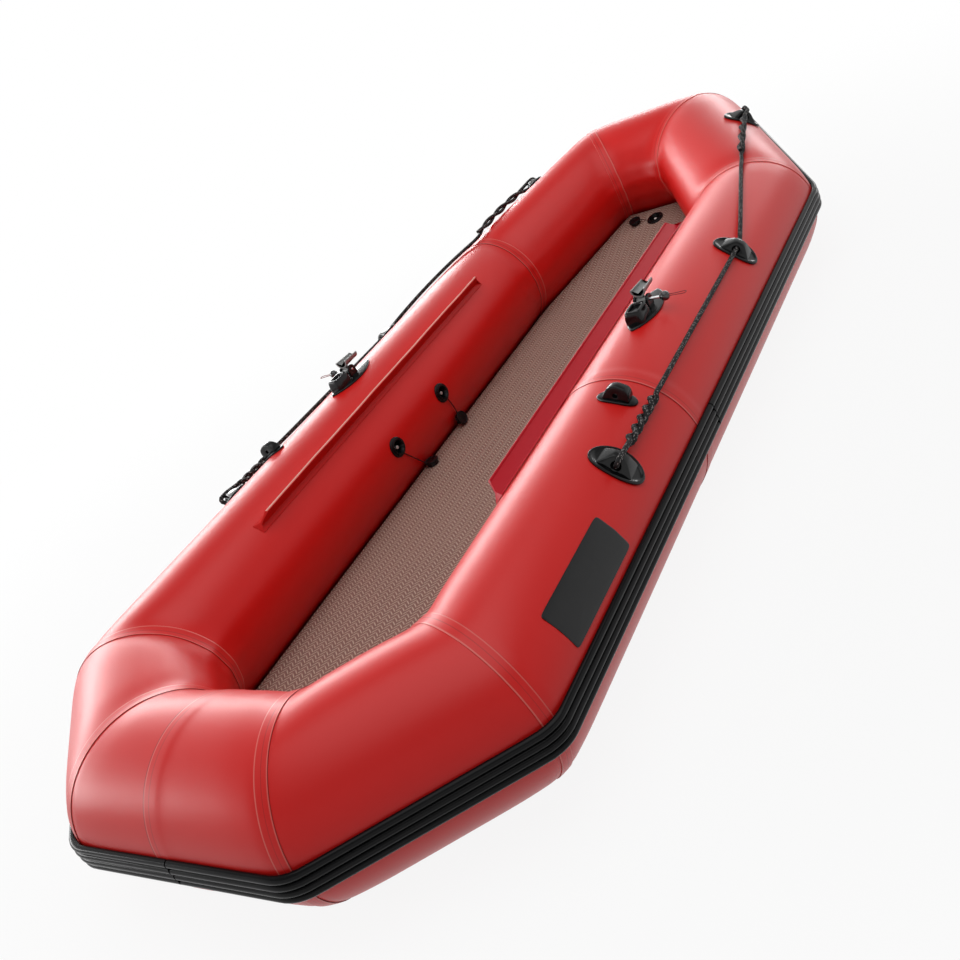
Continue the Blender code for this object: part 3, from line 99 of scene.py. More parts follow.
# Floor
DECK_TOP = 0.050
DECK_LOW = 0.0012
DECK_ROLL = 0.012
FLOOR_INSET = math.sqrt((TUBE_RADIUS + TAPE_TOP + TOUCH_GAP) ** 2 - (CENTRE_HEIGHT - DECK_TOP) ** 2)
FLOOR_FOLD = 0.014
FLOOR_EASING = 0.035
BOTTOM_INSET = 0.024
BOTTOM_THICKNESS = 0.0009
BOTTOM_ROLL = 0.0004
DECK_VALVE_INSET = 0.060
DECK_VALVE_SIDE = 0.012
VALVE_HOLE = 0.0188

# Strake and strips
STRAKE_LOW = math.radians(-10.3)
STRAKE_HIGH = math.radians(9.2)
STRAKE_LAP = 0.700
STRAKE_END_GAP = 0.0015
STRAKE_RIBS = 4
STRAKE_BACK = 0.0030
STRAKE_RIB_HEIGHT = 0.0055
STRIP_ANGLE = math.radians(130.0)
STRIP_MIDDLE = 0.870
STRIP_LENGTH = 1.060
STRIP_SLANT = 0.026
STRIP_HEIGHT = 0.034
STRIP_HALF_WIDTH = 0.014
STRIP_FLANGE = 0.0015
STRIP_EDGE_WAY = 0.0472

# Rope holders and ropes
HOLDER_ANGLE = math.radians(46.0)
RIGHT_HOLDER_ALONGS = (0.413, 1.186)
LEFT_HOLDER_ALONGS = (0.478, 1.186)
BOW_HOLDER_ANGLE = math.radians(50.0)
BOW_HOLDER_ALONG = 0.300
BOW_HOLDER_LIFT = 0.0013
BRIDGE_HEIGHT = 0.022
BRIDGE_WIDTH = 0.030
EYE_HEIGHT = 0.010
EYE_TURN_START = 0.0125
ROPE_DIAMETER = 0.010
STRAND_GAP = 0.0009
TWIST_HEIGHT = 0.017
TWIST_LOW = 0.0125
TWIST_START = 0.040
REAR_TWIST_LENGTH = 0.150
REAR_TWIST_TURNS = 2.5
BOW_TWIST_LENGTH = 0.240
BOW_TWIST_TURNS = 2.0
BRAID_PITCH = 0.012
BRAID_STRANDS = 12
CORNER_LINE_ANGLE = math.radians(84.5)

# Oarlocks and eye blocks
OARLOCK_ALONG = 0.893
OARLOCK_ANGLE = math.radians(88.0)
PIN_PLACE = 0.004
PIN_HEIGHT = 0.021
PIN_HOLE = 0.0034
CHEEK_PLACE = 0.0135
BLOCK_PLACE = -0.040
KNOB_RADIUS = 0.010
KNOB_DROP = 0.0488
LOOP_START = 0.0093
LOOP_RADIUS = 0.0008
GUTTER_THICKNESS = 0.0030
GUTTER_BOTTOM = 0.0105
RIGHT_EYE_BLOCK_ALONG = 0.575
LEFT_EYE_BLOCK_ALONG = 0.605
EYE_BLOCK_ANGLE = math.radians(68.0)

# Valves and caps
VALVE_ANGLE = math.radians(175.0)
VALVE_ALONGS = (0.755, 0.985)
FLANGE_RADIUS = 0.025
FLANGE_START = 0.0183
GUIDE_MIDDLE = -0.0085
STRAP_DIAMETER = 0.0024
STRAP_NECK = 0.7
SPRING_WIRE = 0.0007
SPRING_RADIUS = 0.0033
SPRING_TURNS = 2.5
SPRING_LOW = -0.0072
SPRING_HIGH = -0.0011
CAP_LIFT = 0.0008
CAP_HEIGHT = 0.013
CAP_RADIUS = 0.018
CAP_TUBE_GAP = 0.0015
STRAP_HEIGHT_ON_CAP = 0.0105
STRAP_HEIGHT_ON_FLANGE = 0.0021
REAR_CAP_AHEAD = 0.0765
FRONT_CAP_AHEAD = 0.0170
FRONT_CAP_LEAN = math.radians(14.0)
FRONT_CAP_SHIFT = 0.004
DECK_CAP_REACH = 0.064

# Patch
PATCH_START = 0.058
PATCH_LENGTH = 0.226
PATCH_LOW = math.radians(14.5)
PATCH_HIGH = math.radians(42.5)

# Camera, solved from the seams of the tube ring: its place and its right, down and forward axes
LENS = 39.775
SENSOR_WIDTH = 36.0
LENS_SHIFT = (-0.00657, -0.04601)
CAMERA_PLACE = (1.3772, -1.81157, 1.10354)
CAMERA_AXES = ((0.79645, 0.4186, -0.4364), (-0.13419, -0.58133, -0.80252),
               (-0.58962, 0.69773, -0.40683))

# Lamps (size, place, aim) and backdrop
LAMPS = {"window": ((4.8, 0.6), (-3.3, 1.5, 1.05), (0.0, 0.0, 0.2)),
         "bow": ((3.4, 0.55), (-0.4, 4.2, 1.0), (0.0, 0.2, 0.2)),
         "rear": ((2.4, 0.9), (-3.4, -1.9, 1.0), (0.0, -0.4, 0.2)),
         "top": ((4.5, 4.5), (0.6, -0.3, 4.0), (0.0, 0.0, 0.2))}
SWEEP_START = 6.0
SWEEP_RADIUS = 3.0
SWEEP_TURN = math.radians(130.0)

# Lines drawn on a finish: (way along one UV axis, half-width, share, colour); each is painted light, a dark
# line painted shade and a pale one a painted highlight
# Lap: painted shade along the lap's edge, a painted highlight just inside it, and a second line of painted
# shade farther in
LAP_SHADE_AND_HIGHLIGHT_LINES = ((0.0006, 0.0013, 0.60, (0.14, 0.004, 0.003, 1.0)),
             (0.0030, 0.0018, 0.30, (0.80, 0.30, 0.26, 1.0)),
             (0.0140, 0.0016, 0.30, (0.20, 0.006, 0.005, 1.0)))
# Tape: pale painted highlights near both edges, dark painted shade in the middle fold and along the far edge
TAPE_SHADE_AND_HIGHLIGHT_LINES = ((0.0016, 0.0022, 0.40, (0.80, 0.32, 0.27, 1.0)),
              (0.0140, 0.0012, 0.35, (0.16, 0.004, 0.003, 1.0)),
              (0.0240, 0.0016, 0.30, (0.80, 0.32, 0.27, 1.0)),
              (0.0264, 0.0022, 0.75, (0.10, 0.003, 0.003, 1.0)))
# Strip: a pale painted highlight along the bead of the free edge
BEAD_HIGHLIGHT_LINES = ((STRIP_EDGE_WAY, 0.0068, 0.90, (0.92, 0.62, 0.52, 1.0)),)

UP = np.array([0.0, 0.0, 1.0])


class BoatShape(PropertyGroup):
    """Sizes of the soft forms."""
    corner_softness: FloatProperty(
        name="Corner Softness", description="Length of tube on each side of a seam that turns the corner",
        default=0.034, min=0.005, max=0.06, unit="LENGTH")
    inner_softness: FloatProperty(
        name="Inner Softness", description="How much longer the turn is on the inner side of a corner",
        default=1.0, min=0.0, max=1.05)
    seam_pinch: FloatProperty(
        name="Seam Pinch", description="How far the skin is drawn in at a corner seam",
        default=0.0032, min=0.0, max=0.01, unit="LENGTH")
    pinch_reach: FloatProperty(
        name="Pinch Reach", description="Distance over which the skin swells out again",
        default=0.050, min=0.01, max=0.2, unit="LENGTH")
    wrinkle_height: FloatProperty(
        name="Wrinkle Height", description="Depth of the folds on the inner side of the corners",
        default=0.0014, min=0.0, max=0.005, unit="LENGTH")
    strip_sway: FloatProperty(
        name="Strip Sway", description="How far the seat strips' free edges wave",
        default=0.0003, min=0.0, max=0.005, unit="LENGTH")
    braid_depth: FloatProperty(
        name="Braid Depth", description="Height of the braid on the grab lines",
        default=0.0006, min=0.0, max=0.002, unit="LENGTH")


class BoatColors(PropertyGroup):
    """Colours of the finishes."""
    tube: FloatVectorProperty(name="Tubes", description="Coated fabric of the tubes", subtype="COLOR",
                              size=4, min=0.0, max=1.0, default=(0.66, 0.008, 0.006, 1.0))
    tape: FloatVectorProperty(name="Seam Tapes", description="Tape over the seams", subtype="COLOR",
                              size=4, min=0.0, max=1.0, default=(0.66, 0.010, 0.008, 1.0))
    # Colour of the right strip only; the left strip takes the tubes' red, so the two strips differ by painted
    # light
    strip: FloatVectorProperty(name="Seat Strips", description="Strips along the side tubes",
                               subtype="COLOR", size=4, min=0.0, max=1.0,
                               default=(0.50, 0.005, 0.018, 1.0))
    deck: FloatVectorProperty(name="Deck", description="Anti-slip face of the deck", subtype="COLOR",
                              size=4, min=0.0, max=1.0, default=(0.27, 0.150, 0.122, 1.0))
    rubber: FloatVectorProperty(name="Rubber", description="Moulded fittings and strake",
                                subtype="COLOR", size=4, min=0.0, max=1.0,
                                default=(0.004, 0.004, 0.0045, 1.0))
    rope: FloatVectorProperty(name="Rope", description="Grab lines", subtype="COLOR", size=4,
                              min=0.0, max=1.0, default=(0.006, 0.0055, 0.006, 1.0))
    saddle: FloatVectorProperty(name="Oar Saddles", description="Moulded oar saddles", subtype="COLOR",
                                size=4, min=0.0, max=1.0, default=(0.27, 0.275, 0.27, 1.0))


class BoatStage(PropertyGroup):
    """Light levels."""
    window_power: FloatProperty(name="Window Light", description="Long soft light on the left",
                                default=104.0, min=0.0, unit="POWER")
    bow_power: FloatProperty(name="Bow Light", description="Soft light beyond the bow",
                             default=38.0, min=0.0, unit="POWER")
    rear_power: FloatProperty(name="Rear Light", description="Soft light on the left behind the stern",
                              default=50.0, min=0.0, unit="POWER")
    top_power: FloatProperty(name="Top Light", description="Wide soft light overhead",
                             default=92.0, min=0.0, unit="POWER")
    sky_level: FloatProperty(name="Sky Level", description="Plain light from all round",
                             default=0.38, min=0.0, max=2.0)


def shape():
    """The sizes that a user can change."""
    return bpy.context.scene.boat_shape


def colors():
    """The colours that a user can change."""
    return bpy.context.scene.boat_colors


# Points, frames and paths

def unit(vectors):
    """Vectors of length one."""
    return vectors / np.linalg.norm(vectors, axis=-1, keepdims=True)


def ring_corners():
    """Centreline corners of the tube ring and the level mitre vector of each."""
    rear = -HALF_LENGTH + STERN_RUN
    front = rear + SIDE_LENGTH
    places = np.array([(HALF_BEAM, rear, 0.0), (HALF_BEAM, front, 0.0),
                       (BOW_HALF_WIDTH, HALF_LENGTH, BOW_RISE), (-BOW_HALF_WIDTH, HALF_LENGTH, BOW_RISE),
                       (-HALF_BEAM, front, 0.0), (-HALF_BEAM, rear, 0.0),
                       (-STERN_HALF_WIDTH, -HALF_LENGTH, 0.0), (STERN_HALF_WIDTH, -HALF_LENGTH, 0.0)])
    places[:, 2] += CENTRE_HEIGHT
    steps = np.roll(places, -1, axis=0) - places
    steps[:, 2] = 0.0
    runs = unit(steps)
    outward = np.stack([runs[:, 1], -runs[:, 0], np.zeros(8)], axis=1)
    before = np.roll(outward, 1, axis=0)
    share = 1.0 + (before * outward).sum(axis=1, keepdims=True)
    return places, (before + outward) / share, runs, np.linalg.norm(steps, axis=1)


CORNERS, MITRES, RUNS, RUN_LENGTHS = ring_corners()


def mitre_point(corner, angle, offset=0.0):
    """Corner + mitre vector times R cos(angle) + up times R sin(angle), with R past the tube."""
    angle, offset = np.broadcast_arrays(angle, offset)
    reach = TUBE_RADIUS + offset
    return (CORNERS[corner % 8] + MITRES[corner % 8] * (reach * np.cos(angle))[..., None]
            + UP * (reach * np.sin(angle))[..., None])


def line_length(run, angle, offset=0.0):
    """Length of one line of a run, from mitre to mitre."""
    return np.linalg.norm(mitre_point(run + 1, angle, offset) - mitre_point(run, angle, offset), axis=-1)


def line_place(run, along, angle, offset=0.0):
    """Distance along one line of a tube at which it crosses the section at a centreline distance."""
    start = (mitre_point(run, angle, offset) - CORNERS[run % 8]) @ RUNS[run % 8]
    end = (mitre_point(run + 1, angle, offset) - CORNERS[run % 8]) @ RUNS[run % 8]
    return (along - start) / (end - start) * line_length(run, angle, offset)


def tube_point(run, reach, angle, offset=0.0):
    """A point of the softened ring: straight along a run, and half a quadratic curve at each end.

    Within the softness of a corner M the line is (1-t)^2 A + 2t(1-t) M + t^2 B, where A and B lie
    the softness before and after M. The softness grows with cos^2 towards the inner side.
    """
    reach, angle, offset = np.broadcast_arrays(reach, angle, offset)
    before, start, end, after = (mitre_point(run + step, angle, offset) for step in (-1, 0, 1, 2))
    line = end - start
    length = np.linalg.norm(line, axis=-1)[..., None]
    line = line / length
    arriving = unit(start - before)
    leaving = unit(after - end)
    inner = np.clip(-np.cos(angle), 0.0, 1.0) ** 2
    soft = (shape().corner_softness * (1.0 + shape().inner_softness * inner))[..., None]
    reach = reach[..., None]
    first = 0.5 + 0.5 * reach / soft
    last = (reach - length + soft) / (2 * soft)

    def turn(share, corner, way_in, way_out):
        return ((1 - share) ** 2 * (corner - way_in * soft) + 2 * share * (1 - share) * corner
                + share ** 2 * (corner + way_out * soft))

    return np.where(reach < soft, turn(first, start, arriving, line),
                    np.where(reach > length - soft, turn(last, end, line, leaving), start + line * reach))


def surface_point(run, along, angle, offset=0.0):
    """A point on a run's unsoftened surface at a centreline distance."""
    start = mitre_point(run, angle, offset)
    share = line_place(run, along, angle, offset) / line_length(run, angle, offset)
    return start + (mitre_point(run + 1, angle, offset) - start) * np.asarray(share)[..., None]


def surface_frame(run, along, angle, left=False, lift=0.0):
    """Place on a tube as a 4x4 array: X towards the bow, Z out of the tube, Y round it."""
    step = TUBE_RADIUS / 10
    place = surface_point(run, along, angle)
    toward = unit(surface_point(run, along + step, angle) - surface_point(run, along - step, angle))
    around = surface_point(run, along, angle + 0.1) - surface_point(run, along, angle - 0.1)
    outward = unit(np.cross(toward, around))
    if left:
        flip = np.array([-1.0, 1.0, 1.0])
        place, toward, outward = place * flip, toward * flip, outward * flip
    made = np.eye(4)
    made[:3, 0], made[:3, 1], made[:3, 2] = toward, np.cross(outward, toward), outward
    made[:3, 3] = place + outward * lift
    return made


def placed(points, made):
    """Points taken to a place."""
    return points @ made[:3, :3].T + made[:3, 3]


def moved(x=0.0, y=0.0, z=0.0):
    """A move as a 4x4 array."""
    made = np.eye(4)
    made[:3, 3] = x, y, z
    return made


def turned_frame(angle, axis):
    """A turn about one axis as a 4x4 array."""
    return np.array(Matrix.Rotation(angle, 4, axis))


def bent(points):
    """Bend flat work on to a tube: Y becomes an arc length round it, Z a height over it."""
    angle = points[..., 1] / TUBE_RADIUS
    radius = TUBE_RADIUS + points[..., 2]
    return np.stack([points[..., 0], radius * np.sin(angle), radius * np.cos(angle) - TUBE_RADIUS], axis=-1)


def smooth_path(points, step):
    """A Catmull-Rom curve through the points, read again at even distances."""
    points = np.asarray(points)
    ends = np.concatenate([2 * points[:1] - points[1:2], points, 2 * points[-1:] - points[-2:-1]])
    before, start, end, after = ends[:-3], ends[1:-2], ends[2:-1], ends[3:]
    share = (np.arange(16) / 16)[None, :, None]
    before, start, end, after = (item[:, None] for item in (before, start, end, after))
    fine = 0.5 * (2 * start + (end - before) * share
                  + (2 * before - 5 * start + 4 * end - after) * share ** 2
                  + (3 * start - before - 3 * end + after) * share ** 3)
    fine = np.concatenate([fine.reshape(-1, 3), points[-1:]])
    way = np.concatenate([[0.0], np.cumsum(np.linalg.norm(np.diff(fine, axis=0), axis=1))])
    marks = np.linspace(0.0, way[-1], max(4, int(way[-1] / step) + 1))
    return np.stack([np.interp(marks, way, fine[:, axis]) for axis in range(3)], axis=1)


def path_frames(path):
    """Side and normal along a path, carried along it without twisting."""
    tangents = unit(np.gradient(path, axis=0))
    side = np.cross(tangents[0], UP if abs(tangents[0][2]) < 0.9 else np.array([1.0, 0.0, 0.0]))
    sides = []
    for tangent in tangents:
        side = side - tangent * (side @ tangent)
        side = side / np.linalg.norm(side)
        sides.append(side)
    sides = np.array(sides)
    return sides, np.cross(tangents, sides)


def spaced(count, crowd=0.7):
    """Shares from 0 to 1, crowded towards both ends: t - crowd sin(2 pi t) / 2 pi."""
    share = np.linspace(0.0, 1.0, count)
    return share - crowd * np.sin(2 * np.pi * share) / (2 * np.pi)


# Grids and meshes

def grid(points, uv=None, wrap_rows=False, wrap_columns=False, caps=False):
    """Vertices, faces and corner UVs of a grid of points [row, column, xyz].

    A wrapped side joins the last row or column to the first; caps close the first and last rows
    with a fan about their middles.
    """
    rows, columns = points.shape[:2]
    row, column = np.meshgrid(np.arange(rows if wrap_rows else rows - 1),
                              np.arange(columns if wrap_columns else columns - 1), indexing="ij")
    row, column = row.ravel(), column.ravel()
    rows_of = np.stack([row, row, row + 1, row + 1], axis=1)
    columns_of = np.stack([column, column + 1, column + 1, column], axis=1)
    faces = (rows_of % rows) * columns + columns_of % columns
    if uv is None:
        uv = np.zeros((rows + 1, columns + 1, 2))
    vertices = points.reshape(-1, 3)
    corners = uv[rows_of, columns_of].reshape(-1, 2)
    face_list = faces.tolist()
    if caps:
        middles = np.stack([points[0].mean(axis=0), points[-1].mean(axis=0)])
        first = np.arange(columns)
        after = (first + 1) % columns
        hub = rows * columns
        fans = (np.stack([np.full(columns, hub), after, first], axis=1),
                np.stack([np.full(columns, hub + 1), first + (rows - 1) * columns,
                          after + (rows - 1) * columns], axis=1))
        face_list += fans[0].tolist() + fans[1].tolist()
        vertices = np.concatenate([vertices, middles])
        corners = np.concatenate([corners, np.repeat(uv[0, :1], 3 * columns, axis=0),
                                  np.repeat(uv[rows - 1, :1], 3 * columns, axis=0)])
    return vertices, face_list, corners


def metre_uv(points):
    """UVs in metres: U is the way across the columns and V the way down the rows."""
    around = np.concatenate([points, points[:, :1]], axis=1)
    across = np.cumsum(np.linalg.norm(np.diff(around, axis=1), axis=2).mean(axis=0))
    down = np.cumsum(np.linalg.norm(np.diff(points, axis=0), axis=2).mean(axis=1))
    across = np.concatenate([[0.0], across])
    down = np.concatenate([[0.0], down, down[-1:]])
    return np.stack(np.meshgrid(across, down, indexing="xy"), axis=-1)


def make_piece(name, parts, material, body="hull", nodes=(), sharp=38.0):
    """Join grids into one object, face it outwards, tie it to its body and hide the nodes it stands for."""
    vertices, faces, corners, count = [], [], [], 0
    for points, part_faces, part_corners in parts:
        vertices.append(points)
        faces += [[index + count for index in face] for face in part_faces]
        corners.append(part_corners)
        count += len(points)
    mesh = bpy.data.meshes.new(name)
    mesh.from_pydata(np.concatenate(vertices).tolist(), [], faces)
    layer = mesh.uv_layers.new(name="UVMap")
    layer.data.foreach_set("uv", np.concatenate(corners).astype(np.float32).ravel())
    work = bmesh.new()
    work.from_mesh(mesh)
    bmesh.ops.recalc_face_normals(work, faces=work.faces)
    work.to_mesh(mesh)
    work.free()
    mesh.shade_smooth()
    mesh.set_sharp_from_angle(angle=math.radians(sharp))
    mesh.materials.append(material)
    made = bpy.data.objects.new(name, mesh)
    bpy.context.scene.collection.objects.link(made)
    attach(made, body)
    if nodes:
        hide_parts(*nodes)
    return made


def cut_round(piece, made, radius):
    """Cut a round hole about a place's Z axis through a piece and keep the result as its mesh."""
    cutter_mesh = bpy.data.meshes.new("hole")
    work = bmesh.new()
    bmesh.ops.create_cone(work, cap_ends=True, segments=48, radius1=radius, radius2=radius,
                          depth=0.024, matrix=Matrix(made.tolist()))
    work.to_mesh(cutter_mesh)
    work.free()
    cutter = bpy.data.objects.new("hole", cutter_mesh)
    bpy.context.scene.collection.objects.link(cutter)
    boolean = piece.modifiers.new("hole", "BOOLEAN")
    boolean.operation = "DIFFERENCE"
    boolean.solver = "EXACT"
    boolean.object = cutter
    bpy.context.view_layer.update()
    graph = bpy.context.evaluated_depsgraph_get()
    mesh = bpy.data.meshes.new_from_object(piece.evaluated_get(graph), preserve_all_data_layers=True,
                                           depsgraph=graph)
    piece.modifiers.clear()
    piece.data = mesh
    bpy.data.objects.remove(cutter, do_unlink=True)


def capped(points, made):
    """A placed grid whose rings are closed, with a fan over each end."""
    return grid(placed(points, made), wrap_columns=True, caps=True)


def ringed(points, made):
    """A placed grid that is closed both ways, as a ring is."""
    return grid(placed(points, made), wrap_rows=True, wrap_columns=True)


def closed_uv(flat):
    """UVs for a wrapped grid: the first column comes again at the end, and so does the last row."""
    uv = np.concatenate([flat, flat[:, :1]], axis=1)
    return np.concatenate([uv, uv[-1:]])


# Shapes that several pieces share

def swept_tube(path, radius, sides):
    """A round tube: path + radius (cos a side + sin a normal); radius may vary with row and angle."""
    side, normal = path_frames(path)
    angle = np.linspace(0.0, 2 * np.pi, sides, endpoint=False)
    if callable(radius):
        way = np.concatenate([[0.0], np.cumsum(np.linalg.norm(np.diff(path, axis=0), axis=1))])
        radius = radius(way[:, None], angle[None, :])
    else:
        radius = np.full((len(path), sides), radius)
    points = (path[:, None] + radius[..., None] * (np.cos(angle)[None, :, None] * side[:, None]
                                                   + np.sin(angle)[None, :, None] * normal[:, None]))
    return grid(points, metre_uv(points), wrap_columns=True, caps=True)


def revolved(profile, steps, made, ripple=None):
    """A closed round body: (radius, height) rows spun about Z; rows at the axis close as poles."""
    profile = np.array(profile)
    closed = profile[0][0] > 1e-9
    if not closed:
        profile = profile[1:-1]
    angle = np.linspace(0.0, 2 * np.pi, steps, endpoint=False)
    radius = profile[:, :1] * np.ones((1, steps))
    if ripple is not None:
        radius = radius + ripple(profile[:, :1], profile[:, 1:], angle[None, :])
    points = np.stack([radius * np.cos(angle), radius * np.sin(angle),
                       profile[:, 1:] * np.ones((1, steps))], axis=-1)
    points = made(points) if callable(made) else placed(points, made)
    return grid(points, metre_uv(points), wrap_rows=closed, wrap_columns=True, caps=not closed)


def rounded_loop(points, passes=3):
    """A closed outline with its corners cut three times, a quarter of each side at a time."""
    points = np.asarray(points, dtype=float)
    for _ in range(passes):
        after = np.roll(points, -1, axis=0)
        points = np.stack([points * 0.75 + after * 0.25, points * 0.25 + after * 0.75],
                          axis=1).reshape(-1, 2)
    return points


def loop_by_angle(outline, centre, angles):
    """A star-shaped outline read at given angles about a centre."""
    fine = np.concatenate([outline, outline[:1]])
    share = np.linspace(0.0, 1.0, 12, endpoint=False)[None, :, None]
    fine = (fine[:-1, None] * (1 - share) + fine[1:, None] * share).reshape(-1, 2) - centre
    turn = np.arctan2(fine[:, 1], fine[:, 0])
    reach = np.hypot(fine[:, 0], fine[:, 1])
    order = np.argsort(turn)
    reach = np.interp(angles, turn[order], reach[order], period=2 * np.pi)
    return centre + np.stack([np.cos(angles), np.sin(angles)], axis=1) * reach[:, None]


def bored_plate(outline, centre, hole, half, edge, count=72):
    """A thick plate with a hole: each spoke from hole to outline carries the same rounded section.

    The section runs up the hole's wall, out over the face, round the outer edge and back.
    """
    angles = np.linspace(0.0, 2 * np.pi, count, endpoint=False)
    outer = loop_by_angle(np.asarray(outline), np.asarray(centre), angles)
    inner = np.asarray(centre) + np.stack([np.cos(angles) * hole[0], np.sin(angles) * hole[1]], axis=1)
    spoke = unit(outer - inner)
    lip = edge * 0.4
    arc = np.linspace(0.0, np.pi / 2, 5)
    top = [(0, 0.0, half - lip), (0, lip * 0.3, half - lip * 0.3), (0, lip, half)]
    top += [(1, -edge * (1 - math.sin(turn)), half - edge * (1 - math.cos(turn))) for turn in arc]
    section = top + [(base, shift, -height) for base, shift, height in reversed(top)]
    rows = []
    for base, shift, height in section:
        flat = (outer if base else inner) + spoke * shift
        rows.append(np.column_stack([flat, np.full(count, height)]))
    return np.array(rows)


def stacked(outline, levels):
    """Rings of an outline, each scaled by its level's (length, width) and set at its height."""
    levels = np.array(levels)[:, None]
    rings = outline * levels[..., :2]
    return np.concatenate([rings, np.broadcast_to(levels[..., 2:], rings[..., :1].shape)], axis=-1)


def pad(outline, levels):
    """A pad from (share of the outline, height) rings, closed at its middle above and below."""
    return bent(stacked(outline, [(share, share, height) for share, height in levels]))


def rounded_square(count, power):
    """A unit superellipse: sign(cos a) |cos a|^power and sign(sin a) |sin a|^power."""
    angle = np.linspace(0.0, 2 * np.pi, count, endpoint=False)
    round_points = np.column_stack([np.cos(angle), np.sin(angle)])
    return np.sign(round_points) * np.abs(round_points) ** power


def oval(length, width, count=72, power=1.0):
    """(length cos a, width sign(sin a) |sin a|^power), halved: a higher power gives pointed ends."""
    angle = np.linspace(0.0, 2 * np.pi, count, endpoint=False)
    side = np.sin(angle)
    return np.column_stack([np.cos(angle) * length / 2,
                            np.sign(side) * np.abs(side) ** power * width / 2])


# Finishes

def new_node(tree, kind, links=(), **settings):
    """A node with its options set and its inputs given as numbers or linked sockets."""
    node = tree.nodes.new(kind)
    for name, value in settings.items():
        setattr(node, name, value)
    for name, value in links:
        if isinstance(value, bpy.types.NodeSocket):
            tree.links.new(value, node.inputs[name])
        else:
            node.inputs[name].default_value = value
    return node


def math_node(tree, operation, *values, clamp=False):
    """The result of a math node whose inputs are numbers or linked sockets."""
    node = new_node(tree, "ShaderNodeMath", list(enumerate(values)), operation=operation,
                    use_clamp=clamp)
    return node.outputs[0]


def mix_color(tree, factor, first, second):
    """The first colour, gone over to the second by a factor."""
    node = new_node(tree, "ShaderNodeMix", (), data_type="RGBA")
    for index, value in ((0, factor), (6, first), (7, second)):
        if isinstance(value, bpy.types.NodeSocket):
            tree.links.new(value, node.inputs[index])
        else:
            node.inputs[index].default_value = value
    return node.outputs[2]


def new_group(name, inputs, outputs, fill):
    """A shader node group; inputs are (name, type, default) and fill wires it."""
    made = bpy.data.node_groups.get(name)
    if made is not None:
        return made
    made = bpy.data.node_groups.new(name, "ShaderNodeTree")
    for label, kind, default in inputs:
        socket = made.interface.new_socket(label, in_out="INPUT", socket_type=kind)
        if default is not None:
            socket.default_value = default
    for label, kind in outputs:
        made.interface.new_socket(label, in_out="OUTPUT", socket_type=kind)
    entry = made.nodes.new("NodeGroupInput")
    leave = made.nodes.new("NodeGroupOutput")
    for label, value in fill(made, entry.outputs).items():
        made.links.new(value, leave.inputs[label])
    return made


def use_group(tree, made, values):
    """The outputs of a shader node group that is used with these values."""
    node = tree.nodes.new("ShaderNodeGroup")
    node.node_tree = made
    for name, value in values.items():
        if isinstance(value, bpy.types.NodeSocket):
            tree.links.new(value, node.inputs[name])
        else:
            node.inputs[name].default_value = value
    return node.outputs


def line_mask(tree, value, middle, half):
    """1 on a line where the value is near its middle, falling to 0 a half-width away."""
    away = math_node(tree, "ABSOLUTE", math_node(tree, "SUBTRACT", value, middle))
    fall = new_node(tree, "ShaderNodeMapRange", (("Value", away), ("From Min", half),
                                                 ("From Max", half * 0.45)))
    return fall.outputs[0]


def lined(tree, color, uv, axis, lines):
    """A colour with lines over it along one UV axis: (middle, half-width, share, colour) of each."""
    if not lines:
        return color
    place = new_node(tree, "ShaderNodeSeparateXYZ", (("Vector", uv),)).outputs[axis]
    for middle, half, share, line_color in lines:
        mask = math_node(tree, "MULTIPLY", line_mask(tree, place, middle, half), share)
        color = mix_color(tree, mask, color, line_color)
    return color


def blank_material(name):
    """A new material with its tree, its shader and its coordinates."""
    made = bpy.data.materials.new(name)
    made.use_nodes = True
    tree = made.node_tree
    return made, tree, tree.nodes["Principled BSDF"], tree.nodes.new("ShaderNodeTexCoord").outputs


def add_bump(tree, shader, height, strength, distance):
    """Turn a height into the shader's normal."""
    bump = new_node(tree, "ShaderNodeBump", (("Strength", strength), ("Distance", distance),
                                             ("Height", height)))
    tree.links.new(bump.outputs[0], shader.inputs["Normal"])


def handling_marks():
    """Cloudy dust and handling marks: two noises set how far the colour goes to its dull form."""
    def fill(tree, given):
        broad = new_node(tree, "ShaderNodeTexNoise", (("Vector", given["Vector"]),
                                                      ("Scale", given["Scale"]), ("Detail", 5.0),
                                                      ("Roughness", 0.6)))
        fine_scale = math_node(tree, "MULTIPLY", given["Scale"], 14.0)
        fine = new_node(tree, "ShaderNodeTexNoise", (("Vector", given["Vector"]),
                                                     ("Scale", fine_scale), ("Detail", 3.0)))
        spread = new_node(tree, "ShaderNodeMapRange", (("Value", broad.outputs[0]), ("From Min", 0.38),
                                                       ("From Max", 0.72)))
        specks = new_node(tree, "ShaderNodeMapRange", (("Value", fine.outputs[0]), ("From Min", 0.45),
                                                       ("From Max", 0.75)))
        mask = math_node(tree, "MULTIPLY", spread.outputs[0],
                         math_node(tree, "ADD", 0.65, math_node(tree, "MULTIPLY", specks.outputs[0], 0.35)))
        mask = math_node(tree, "MULTIPLY", mask, given["Amount"], clamp=True)
        rough = math_node(tree, "ADD", given["Roughness"],
                          math_node(tree, "MULTIPLY", given["Spread"], mask))
        return {"Color": mix_color(tree, mask, given["Color"], given["Dull Color"]),
                "Roughness": rough}
    return new_group("handling_marks",
                     [("Vector", "NodeSocketVector", None), ("Color", "NodeSocketColor", (0.5, 0.5, 0.5, 1)),
                      ("Dull Color", "NodeSocketColor", (0.6, 0.6, 0.6, 1)),
                      ("Scale", "NodeSocketFloat", 3.0), ("Amount", "NodeSocketFloat", 0.3),
                      ("Roughness", "NodeSocketFloat", 0.4), ("Spread", "NodeSocketFloat", 0.1)],
                     [("Color", "NodeSocketColor"), ("Roughness", "NodeSocketFloat")], fill)


